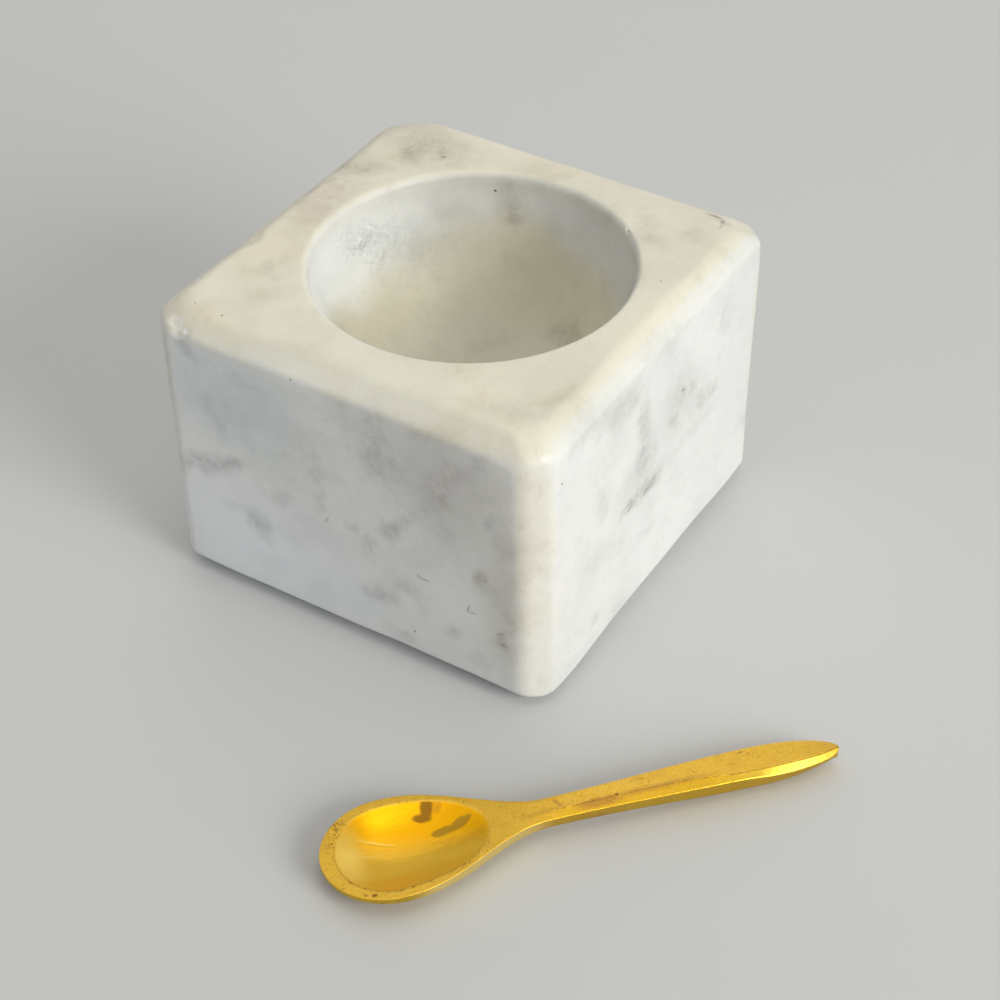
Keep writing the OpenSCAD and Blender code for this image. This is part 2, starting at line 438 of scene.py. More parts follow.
def stone_noise(points, seed, size, layers):
    """Cloudy noise over space from about -1 to 1, whose largest clouds are of the size given."""
    total, weight = np.zeros(len(points)), 0.0
    for layer in range(layers):
        random = np.random.default_rng(seed + NOISE_SEED_STEP * layer)
        grid = random.uniform(-1, 1, (NOISE_CELLS,) * 3)
        where = points * (2**layer / size) + NOISE_SHIFT * layer
        cell = np.floor(where).astype(int)
        part = eased(where - cell)
        value = np.zeros(len(points))
        for corner in np.ndindex(2, 2, 2):
            share = np.prod(np.where(corner, part, 1 - part), axis=1)
            value += share * grid[tuple((cell + corner).T % NOISE_CELLS)]
        total += value * 0.5**layer
        weight += 0.5**layer
    return total / weight * NOISE_GAIN


# Chips in the stone: place, radii, depth, in millimetres, and how rough each one is
CHIPS = (
    ((-30.6, -37.5, 52.4), (1.9, 1.6, 1.1), 0.35, 0.9),
    ((-32.4, -36.9, 53.7), (1.2, 1.3, 0.8), 0.3, 0.9),
    ((19.3, 22.3, 55.3), (1.5, 0.8, 0.6), 0.3, 0.3),
    ((36.9, -37.3, 6.0), (1.4, 1.6, 2.4), 0.3, 0.4),
    ((-34.6, -13.0, 55.2), (1.3, 2.4, 0.9), 0.35, 0.4),
    ((6.0, 35.6, 54.8), (1.5, 0.9, 0.7), 0.25, 0.8),
    ((28.0, 36.9, 53.5), (1.9, 1.2, 1.0), 0.35, 1.2),
    ((-36.8, 36.9, 30.0), (1.5, 1.5, 3.0), 0.5, 0.6),
    ((-12.0, 36.5, 1.3), (2.6, 1.6, 1.3), 0.5, 0.6),
    ((36.8, 12.0, 1.2), (1.4, 2.0, 1.2), 0.4, 0.5),
)

# Pin-holes: place, radius and depth, in millimetres
PIN_HOLES = (
    ((-31.2, -32.7, 55.3), 0.17, 0.4),
    ((-25.2, -33.3, 55.3), 0.15, 0.35),
    ((-12.2, -35.9, 54.3), 0.14, 0.3),
    ((31.0, 11.6, 55.3), 0.13, 0.25),
    ((-9.8, 25.4, 51.6), 0.2, 0.4),
    ((-8.4, -37.9, 51.8), 0.15, 0.3),
    ((13.3, -38.1, 7.4), 0.17, 0.3),
    ((38.1, 7.8, 37.8), 0.13, 0.25),
    ((38.1, -32.0, 46.2), 0.12, 0.2),
    ((-38.1, 14.0, 39.0), 0.22, 0.4),
    ((-38.1, -9.0, 22.0), 0.16, 0.3),
    ((11.0, 38.1, 41.0), 0.2, 0.4),
    ((-19.0, 38.1, 17.0), 0.17, 0.3),
)


# How far out the mesh is made fine round a pin-hole, in its radii and at the least in
# millimetres, and with how many cuts. Then how far its edge is rounded, in its radii.
PIN_ROUNDS = ((4.0, 2), (2.4, 1))
PIN_LEAST = 0.9
PIN_ROUNDED = 1.6


def carve_chips(bm):
    """Knocks the chips out of the stone, and marks the fresh stone that they leave."""
    chipped = bm.verts.layers.float.new("chipped")
    points = np.array([v.co for v in bm.verts]) / MM
    crumble = stone_noise(points, 5, 1.5, 3)
    move, mark = np.zeros(len(points)), np.zeros(len(points))
    for place, radii, depth, rough in CHIPS:
        near = np.linalg.norm((points - place) / radii, axis=1) + 0.3 * rough * crumble
        bite = np.clip((1.2 - near) * 2.2, 0, 1)
        move = np.maximum(move, depth * bite * np.clip(1 + 0.6 * rough * crumble, 0, 2))
        mark = np.maximum(mark, np.clip(bite * 1.5, 0, 1) * rough)
    for index in np.nonzero(move > 0)[0]:
        v = bm.verts[index]
        v.co -= v.normal * float(move[index]) * MM
        v[chipped] = float(mark[index])


def drill_pin_holes(bm):
    """Makes the mesh fine round each pin-hole, sinks it there and marks where it is darkened."""
    pit_dark = bm.verts.layers.float.new("pit_dark")
    for place, radius, depth in PIN_HOLES:
        middle = Vector(place) * MM
        for reach, cuts in PIN_ROUNDS:
            limit = max(reach * radius, PIN_LEAST) * MM
            near = []
            for edge in bm.edges:
                first, second = edge.verts
                if ((first.co + second.co) / 2 - middle).length < limit:
                    near.append(edge)
            if near:
                bmesh.ops.subdivide_edges(bm, edges=near, cuts=cuts, use_grid_fill=True)
        bm.normal_update()
        for v in bm.verts:
            away = (v.co - middle).length / MM / radius
            if away < PIN_ROUNDED:
                v.co -= v.normal * depth * MM * (1 - (away / PIN_ROUNDED) ** 2) ** 1.5
                v[pit_dark] = max(v[pit_dark], min(1.0, (1.5 - away) / 0.7))


# Grey clouds and veins seen in the stone, in millimetres on each face, by their tint: place along
# it and up it, half the width and height, turn, strength, and how deep it goes where not
# FACE_DEPTH.
# A few rows are painted light and shade instead, each said where it stands
SMUDGES = {
    "front": {
        # The pale one is painted light: it lightens and blues the lower left of this face
        "pale": ((-20, 12, 27, 16, 0, 1, 5),),
        "cool": (
            (-22, 42, 18, 12, -10, 0.6, 5), (-14, 36, 10, 6, 0, 0.22), (2, 9, 12, 5, 10, 0.24),
            (16, 26, 6, 4, 40, 0.16),
        ),
        "warm": ((24, 42, 18, 14, 0, 0.42, 5), (31, 26, 5, 26, 0, 0.5)),
        "grey": (
            # The first grey one, broad and faint, is painted shade over the right part of this face
            (10, 34, 26, 18, 20, 0.1, 5), (-17.6, 17, 3.5, 4.4, 18, 0.46),
            (-17.2, 15.6, 1.7, 2.4, 20, 0.3), (-4.6, 27.8, 2, 5.4, -14, 0.3),
            (2.4, 24.4, 1.6, 1.7, 0, 0.46), (9, 42.2, 4.6, 3.2, 10, 0.32),
            (11, 30, 7, 2.2, 49, 0.44), (5.4, 22.8, 3.4, 1.6, 50, 0.38), (-16, 9, 6, 3, 10, 0.12),
            (28.4, 38.8, 1.4, 2.2, 0, 0.44), (6.6, 12.4, 4.2, 2.2, 8, 0.44),
            (20.9, 10.9, 2.3, 1.7, 5, 0.46), (26, 7.2, 2.4, 2.2, 5, 0.24),
            (12, 5.4, 3.4, 1.4, 5, 0.24), (-29.6, 49.4, 3.4, 1.8, -38, 0.5),
            (-24.5, 35, 1.8, 3.2, 0, 0.24), (-12, 25.6, 2.4, 3, 0, 0.26),
            (-19, 47, 3.4, 2, -12, 0.2), (27, 48.6, 1.4, 2, 0, 0.26),
        ),
        "mauve": (
            (-27.4, 26.4, 9, 2.6, 24, 0.6, 5), (-22.6, 28.7, 3.6, 2, 14, 0.62),
            (-31.6, 24.4, 3, 1.6, 30, 0.5), (-24, 18.4, 3, 1.2, 0, 0.22), (14, 43, 16, 9, 10, 0.2),
            (-6, 39, 8, 5, 20, 0.16), (9.6, 28.2, 3, 1.8, 49, 0.36), (17, 37, 7, 2.1, 47, 0.34),
            (25, 47, 5, 1.8, 40, 0.2), (-9, 20, 7, 3.4, 30, 0.16), (-28, 40, 5, 3, -20, 0.14),
            (12, 17, 4, 2.2, 30, 0.26),
        ),
        "brown": (
            (6.9, 48, 3.2, 6.4, 4, 0.3), (19.6, 39.4, 2.2, 2.3, 40, 0.36),
            (27.3, 25.6, 1.5, 2.8, 0, 0.56), (30.8, 14.2, 1.7, 2.6, -20, 0.46),
            (21, 44, 7, 2.4, 34, 0.22),
        ),
    },
    "right": {
        "olive": (
            (-13.5, 48, 8, 4.6, -8, 0.36, 5), (-10, 47.2, 3, 3.2, 0, 0.4),
            (-5.6, 38.6, 3, 9, 5, 0.5), (-4.8, 31, 4.2, 5.2, 10, 0.5), (-4.8, 25.8, 8, 3, 6, 0.54),
            (6.6, 36.8, 6.6, 6.2, 20, 0.4), (11.6, 35.8, 4.2, 2.3, -52, 0.46, 3),
            (4.8, 33.4, 4.4, 1.6, -38, 0.5, 3), (14.6, 31.4, 2, 3.8, 14, 0.5, 3),
            (18.4, 30.8, 4, 1.9, -12, 0.42, 3), (12, 26.4, 13, 2.2, 3, 0.22),
            (-19, 32.6, 2.8, 4.8, 20, 0.28), (-19, 22, 10, 3.8, -6, 0.16),
            (-16, 41, 9, 6, 0, 0.16), (-9, 29, 7, 6, 0, 0.2), (9, 33, 9, 6, -20, 0.2),
            (-12, 4.6, 3, 1.4, 0, 0.2),
        ),
        "grey": (
            (-10.4, 25.2, 2.8, 1.5, 4, 0.66, 3), (-3.2, 25.2, 3.6, 1.3, 10, 0.8, 3),
            (-6.2, 34, 1.5, 1.1, 0, 0.5, 3), (7.8, 37.9, 1.6, 1.2, 0, 0.45, 3),
            (21.6, 36, 2, 2.6, -40, 0.18, 3), (-3, 14.6, 3.2, 1.6, 0, 0.2),
            (-21, 8, 1.6, 1.6, 0, 0.26),
        ),
    },
    "top": {
        "olive": (
            (-25, 27.6, 11, 6.4, -10, 0.5), (-20.4, 28.4, 4.6, 3.6, -30, 0.55, 3),
            (28.6, 25.8, 2.8, 2.6, 0, 0.34, 3), (32.8, -24, 1.6, 8, -8, 0.26, 2),
            (26, -31, 9, 2.2, 12, 0.2, 2),
        ),
        "brown": (
            (-26.6, 23.6, 3.4, 2.4, -20, 0.4, 3), (-21, 26, 1.6, 1.2, -30, 0.6, 2),
            (-31.6, 15.2, 5.6, 2.8, 24, 0.46, 3), (31, 32.8, 3, 1.5, -10, 0.4, 2),
        ),
        "pink": ((-30.6, 4.6, 4.2, 10, 12, 0.55, 3), (12, 33.6, 9, 1.6, 0, 0.16, 2)),
        "pale": ((-8, -31.6, 30, 7, 0, 0.5),),
        "grey": ((23.6, 21.2, 3.6, 2.6, 0, 0.34, 3), (-27.4, -18.2, 2.4, 0.9, -50, 0.3, 2)),
    },
}
# The same for the bowl and the top's left edge, with a whole place and three radii. Some rows here
# are painted light and shade, each said where it stands
BOWL_SMUDGES = (
    ((-34.2, 10, 55), (1.4, 14, 3), 0, 0.4, "olive"),
    ((-8.2, 26.2, 52), (2.6, 4, 3.4), -14, 0.36, "brown"),
    ((-6.6, 26, 48.4), (3, 4, 3.6), -24, 0.42, "brown"),
    ((-6, 26, 47.2), (1.6, 4, 1.9), -30, 0.4, "grey"),
    ((-24.4, 6.4, 46.6), (5, 10.4, 6.6), -20, 1, "scuffed"),
    ((-23.8, 8, 45.6), (5, 8, 4.6), -24, 0.3, "grey"),
    # Painted light: lightens the bowl's left wall by the lip, where the light falls on it
    ((-24, -7, 51), (6, 12, 6.4), 0, 0.85, "pale"),
    # Painted light: lightens the front top bevel along its length
    ((0.0, -36.8, 54), (40, 4, 3.4), 0, 1, "pale"),
    ((-20, 14, 43.4), (6, 6, 6), 0, 0.3, "grey"),
    ((-15, 19, 47.6), (5, 4, 4), 0, 0.28, "grey"),
    ((10.5, 16.6, 32.5), (6, 4, 2.4), 0, 0.4, "brown"),
    ((10, 18.6, 35.4), (8, 5, 5), 0, 0.4, "scuffed"),
    # Painted shade: darkens the bowl's right wall with a lavender tint, as the sky's light there
    ((24, 12, 46), (6, 9, 6), 0, 0.32, "mauve"),
)
SMUDGE_TINTS = {
    "pale": (0.905, 0.925, 0.95),
    "warm": (0.70, 0.655, 0.60),
    "cool": (0.72, 0.79, 0.83),
    "grey": (0.36, 0.37, 0.37),
    "olive": (0.43, 0.43, 0.385),
    "mauve": (0.43, 0.40, 0.42),
    "pink": (0.60, 0.50, 0.46),
    "brown": (0.32, 0.28, 0.235),
    "scuffed": (0.40, 0.42, 0.43),
}

# Small dark strokes: place, radii, turn, strength
STROKES = (
    ((15.6, -38.1, 20.3), (1.25, 2, 0.16), -4, 0.85),
    ((14.7, -38.1, 20.6), (0.5, 2, 0.14), -40, 0.8),
    ((24.2, -38.1, 17.9), (0.24, 2, 1.1), -12, 0.6),
    ((25.0, -38.1, 17.3), (0.8, 2, 0.2), 10, 0.55),
    ((30.9, -38.1, 13.0), (1.1, 2, 0.24), -6, 0.6),
    ((30.3, -38.1, 15.2), (0.9, 2, 0.3), 24, 0.45),
    ((-3.4, -38.1, 24.6), (0.3, 2, 0.8), -30, 0.4),
    ((38.1, -31.8, 46.0), (2, 0.24, 0.4), 0, 0.5),
    ((38.1, -4.2, 24.4), (2, 1.5, 0.22), 8, 0.7),
    ((38.1, -9.9, 24.6), (2, 1.3, 0.24), 12, 0.6),
    ((38.1, 8.0, 37.8), (2, 0.8, 0.25), -14, 0.4),
    ((29.6, 33.4, 55.3), (1.6, 0.3, 2), 6, 0.75),
    ((31.6, 32.6, 55.3), (0.45, 1.0, 2), 20, 0.65),
    ((32.1, 31.2, 55.3), (0.3, 0.7, 2), -10, 0.5),
    ((-20.6, 25.4, 55.3), (0.5, 0.4, 2), 0, 0.7),
    ((19.4, 21.9, 55.2), (1.2, 0.25, 2), -42, 0.6),
)

# How deep a smudge goes where its row doesn't say
FACE_DEPTH = 4
# The axis that each face looks along, and where it lies on it
FACES = {
    "front": (1, -HALF), "back": (1, HALF), "left": (0, -HALF), "right": (0, HALF),
    "top": (2, HEIGHT), "under": (2, 0.0),
}


def on_face(face, tint, along, up, wide, tall, turn, strength, deep=FACE_DEPTH):
    """A smudge given on a face, as a place and radii in the block."""
    axis, level = FACES[face]
    place, radii = [along, up], [wide, tall]
    place.insert(axis, level)
    radii.insert(axis, deep)
    return tuple(place), tuple(radii), turn, strength, tint


def spanned(place):
    """The two axes of the face that a place lies on."""
    if place[2] > HEIGHT - 0.4 or place[2] < 0.1:
        return 0, 1
    return (0, 2) if abs(place[1]) > HALF - 0.1 else (1, 2)


# On each face out of view: clouds, veins, pieces of a vein, and a piece's length in millimetres
HIDDEN_CLOUDS, HIDDEN_VEINS = 7, 3
VEIN_PIECES, VEIN_PIECE = 7, 3.4


def hidden_smudges():
    """Clouds and broken veins for the faces out of view, drawn by chance in the same manner."""
    random = np.random.default_rng(31)
    found = []

    def add(face, tint, along, up, *rest):
        found.append(on_face(face, tint, along, up * 1.3 - 34 if face == "under" else up, *rest))

    for side in ("back", "left", "under"):
        for _ in range(HIDDEN_CLOUDS):
            along, up = random.uniform(-32, 32), random.uniform(6, 50)
            wide, tall = random.uniform(4, 11), random.uniform(3, 7)
            tint = random.choice(("grey", "olive", "mauve", "cool"))
            turn, strength = random.uniform(-60, 60), random.uniform(0.10, 0.24)
            add(side, tint, along, up, wide, tall, turn, strength)
        for _ in range(HIDDEN_VEINS):
            along, up = random.uniform(-26, 10), random.uniform(14, 42)
            lean, tint = random.uniform(-50, 60), random.choice(("grey", "olive"))
            for _ in range(VEIN_PIECES):
                lean += random.uniform(-16, 16)
                along += VEIN_PIECE * math.cos(math.radians(lean))
                up += VEIN_PIECE * math.sin(math.radians(lean))
                size = random.uniform(0.8, 1.8)
                if abs(along) < 35 and 2 < up < 53:
                    wide, strength = random.uniform(2.2, 4.0), random.uniform(0.1, 0.5)
                    add(side, tint, along, up, wide, size, lean, strength)
    return found


def mesh_points(mesh):
    """The places of a mesh's points, in millimetres."""
    points = np.zeros(len(mesh.vertices) * 3)
    mesh.vertices.foreach_get("co", points)
    return points.reshape(-1, 3) / MM


def write_marks(mesh, marks):
    for name, mark in marks.items():
        layer = mesh.attributes.new(name, "FLOAT", "POINT")
        layer.data.foreach_set("value", mark.astype(np.float32))


# How the smudges' outlines stray: seed, size of the waves, and how far, in millimetres
SMUDGE_STRAYS = ((41, 5.0, 0.9), (51, 1.6, 0.5))
# Where a smudge ends and over how much it fades, in its radii
SMUDGE_END, SMUDGE_FADE = 1.3, 1.2


def stain_stone(mesh):
    """Writes how much of each tint every point of the stone holds."""
    points = mesh_points(mesh)
    near = points + np.stack([
        sum(far * stone_noise(points, seed + c, size, 2) for seed, size, far in SMUDGE_STRAYS)
        for c in range(3)], -1)
    masks = {tint: np.zeros(len(points)) for tint in SMUDGE_TINTS}
    seen = [on_face(face, tint, *row)
            for face, tints in SMUDGES.items() for tint, rows in tints.items() for row in rows]
    for place, radii, turn, strength, tint in seen + list(BOWL_SMUDGES) + hidden_smudges():
        local, pair = near - place, list(spanned(place))
        c, s = math.cos(math.radians(turn)), math.sin(math.radians(turn))
        first, second = local[:, pair].T
        local[:, pair] = np.stack([first * c + second * s, second * c - first * s], -1)
        away = np.linalg.norm(local / radii, axis=1)
        x = np.clip((SMUDGE_END - away) / SMUDGE_FADE, 0, 1)
        masks[tint] = np.maximum(masks[tint], strength * eased(x))
    write_marks(mesh, masks)


# Where the painted shade in the bowl starts, darker and warmer further down where less light
# reaches, in degrees below its lip, and over how many degrees, at each turn round the bowl
PAINTED_SHADE_FROM = (
    (0, 22, 8), (60, 20, 10), (90, 12, 9), (108, 8, 9), (130, 18, 13),
    (150, 25, 12), (165, 27, 10), (185, 29, 7), (330, 30, 7), (360, 22, 8),
)


def paint_bowl_shade(mesh):
    """Writes how much painted shade each point of the bowl gets: darker and warmer deep down, and
    darker on part of its wall.
    """
    def ramp(x, start, end):
        return np.clip((x - start) / (end - start), 0, 1)

    points = mesh_points(mesh)
    x, y, z = points[:, 0] - BOWL_X, points[:, 1] - BOWL_Y, points[:, 2]
    far = np.hypot(x, y)
    turn = np.degrees(np.arctan2(y, x)) % 360
    middle = HEIGHT - BOWL_DEPTH + BOWL_RADIUS
    below = np.degrees(np.arcsin(np.clip((middle - z) / BOWL_RADIUS, -1, 1)))
    below = below + 5 * stone_noise(points, 61, 8.0, 3)
    turns, starts, softs = np.array(PAINTED_SHADE_FROM).T
    start, soft = np.interp(turn, turns, starts), np.interp(turn, turns, softs)
    inside = ramp(far, BOWL_RADIUS + 0.8, BOWL_RADIUS) * (z > BOWL_FROM)
    painted_bowl_shade = eased(ramp(below, start - soft, start + soft)) * inside
    painted_bowl_shade *= 1 - 0.2 * ramp(below, 44, 56)
    # Most of the painted shade on the wall lies at a turn of 115 to 130 degrees, less of it by the
    # lip at 75
    painted_wall_shade = ramp(turn, 166, 130) * (0.5 + 0.5 * ramp(turn, 85, 115)) * inside
    painted_wall_shade *= 0.65 - 0.22 * ramp(np.abs(turn - 75), 30, 0) * ramp(below, 9, 3)
    # One patch is darker, at a turn of 127 and 18 degrees down the wall
    patch = ramp(np.abs(turn - 127), 24, 8) * ramp(np.abs(below - 18), 12.8, 4.8)
    painted_wall_shade += 0.25 * patch * inside
    write_marks(mesh, {"painted_bowl_shade": painted_bowl_shade, "painted_wall_shade": painted_wall_shade})


# The faces aren't perfectly flat, because they were rubbed down by hand. Their slight hollows:
# seed, width and depth, and the most that is taken off, in millimetres
HOLLOWS = ((21, 19, 0.04), (22, 5, 0.012))
HOLLOWS_MOST = 0.3


def block_mesh():
    """The whole skin of the block: bowl, lip, top, bevels, sides and underside."""
    outer = outer_skin()
    grid = top_skin(outer[0])
    n = HALF_STEPS
    width = 2 * n + 1
    last = width - 1
    rim = [(i, 0) for i in range(last)] + [(last, j) for j in range(last)]
    rim += [(i, last) for i in range(last, 0, -1)] + [(0, j) for j in range(last, 0, -1)]
    for (i, j), point in zip(rim, outer[0]):
        grid[i, j] = point
    points = np.concatenate([grid.reshape(-1, 3), outer[1:].reshape(-1, 3)])
    around = len(rim)
    loops = [[i * width + j for i, j in rim]]
    for row in range(len(outer) - 1):
        loops.append([width * width + row * around + c for c in range(around)])
    inward = sum(deep * (1 + stone_noise(points, seed, wide, 2)) for seed, wide, deep in HOLLOWS)
    inward = np.clip(inward, 0, HOLLOWS_MOST)
    # None of it is taken in the bowl or on its lip
    far = np.hypot(points[:, 0] - BOWL_X, points[:, 1] - BOWL_Y)
    out_of_bowl = np.clip((far - BOWL_RADIUS - 1.7) / 3, 0, 1)
    on_top = np.clip((points[:, 2] - HEIGHT + 2.4) / 2.4, 0, 1) * out_of_bowl
    on_side = np.clip((np.abs(points[:, :2]).max(axis=1) - TOP_EDGE) / 4, 0, 1)
    points[:, :2] *= (1 - on_side * inward / HALF)[:, None]
    points[:, 2] -= on_top * inward
    bm = bmesh.new()
    verts = [bm.verts.new(Vector(p) * MM) for p in points]
    for i in range(last):
        for j in range(last):
            a = i * width + j
            bm.faces.new([verts[a], verts[a + width], verts[a + width + 1], verts[a + 1]])
    for upper, lower in zip(loops, loops[1:]):
        for c in range(around):
            d = (c + 1) % around
            bm.faces.new([verts[upper[c]], verts[lower[c]], verts[lower[d]], verts[upper[d]]])
    bm.faces.new([verts[c] for c in reversed(loops[-1])])
    bm.normal_update()
    bm.verts.ensure_lookup_table()
    carve_chips(bm)
    bm.normal_update()
    drill_pin_holes(bm)
    for face in bm.faces:
        face.smooth = True
    mesh = bpy.data.meshes.new("Block cut from one stone")
    bm.to_mesh(mesh)
    bm.free()
    stain_stone(mesh)
    paint_bowl_shade(mesh)
    return mesh


def run_tree(piece, tree, sizes):
    """Runs a geometry tree on a piece, with its sizes, and keeps the plain mesh."""
    modifier = piece.modifiers.new(tree.name, "NODES")
    modifier.node_group = tree
    for item in tree.interface.items_tree:
        if item.item_type == "SOCKET" and item.in_out == "INPUT" and item.name in sizes:
            modifier[item.identifier] = sizes[item.name]
    bpy.context.view_layer.update()
    seen = piece.evaluated_get(bpy.context.evaluated_depsgraph_get())
    mesh = bpy.data.meshes.new_from_object(seen)
    piece.modifiers.remove(modifier)
    piece.data = mesh


# Sizes of the spoon, in metres, as in the CAD, with the softness of its worn edges
SPOON_SIZES = {
    "Length": 0.0852,
    "Scoop Width": 0.020,
    "Scoop Reach": 0.011,
    "Neck Distance": 0.0365,
    "Neck Width": 0.0046,
    "Handle Width": 0.0063,
    "Handle End": 0.0137,
    "Rim Width": 0.0024,
    "Rim Side": 0.0017,
    "Hollow End": 0.0266,
    "Rim Height": 0.0041,
    "Rim Edge": 0.0007,
    "Scoop Wall": 0.0024,
    "Neck Height": 0.0051,
    "Neck Thickness": 0.0031,
    "Neck Side": 0.0025,
    "Handle Side": 0.0031,
    "Tip Height": 0.0036,
    "Tip Thickness": 0.0026,
    "Tip Side": 0.0012,
    "Side Lean": 0.0005,
    "Edge Softness": 0.00018,
    "Hollow Lip": 0.1,
    "Far Bevel": 0.0007,
    "Wobble": 0.00005,
    "Angle": math.radians(48.5),
    "Start X": 0.027315,
    "Start Y": -0.085304,
    "Rows": 291,
    "Columns": 141,
}

# Rows of points along each stretch of the spoon, and columns from its middle line to its keel
ROW_COUNTS = (12, 44, 74, 34, 86, 40)
COLUMN_COUNTS = (26, 14, 8, 8, 14)
# The crease along the near half of the handle: how far out it runs, as a share of the half width,
# and how steep the brass is below it, each at shares of the length
CREASE_LINE = (
    (0.0, 0.7), (0.36, 0.7), (0.42, 0.30), (0.64, 0.28), (0.73, 0.43),
    (0.81, 0.62), (0.88, 0.60), (0.94, 0.58), (0.98, 0.42), (1.0, 0.25),
)
CREASE_SLOPE = (
    (0.0, 0.0), (0.33, 0.0), (0.43, 0.16), (0.70, 0.17),
    (0.80, 0.36), (0.87, 0.80), (0.95, 0.90), (1.0, 0.8),
)
FAR_BEVEL_SLOPE = 0.3
# How far apart points may lie, in metres, and still be one
WELD = 1e-6
# How much of the rise from rim to neck lies over the hollow's middle
HOLLOW_RISE = 0.46
# Powers that bend its lines: the scoop's narrowing, the fall of the top to the tip, the belly
NARROWING, TIP_FALL, BELLY = 1.07, 5.0, 2.4
# Between which distances below the edge the mark of the sides passes from 0 to 1, in metres
SIDE_FROM, SIDE_TO = 0.00004, 0.0002
# Dents: size of the waves, as a noise's scale, and share of the depth
DENTS = ((160.0, 0.7), (620.0, 0.3))


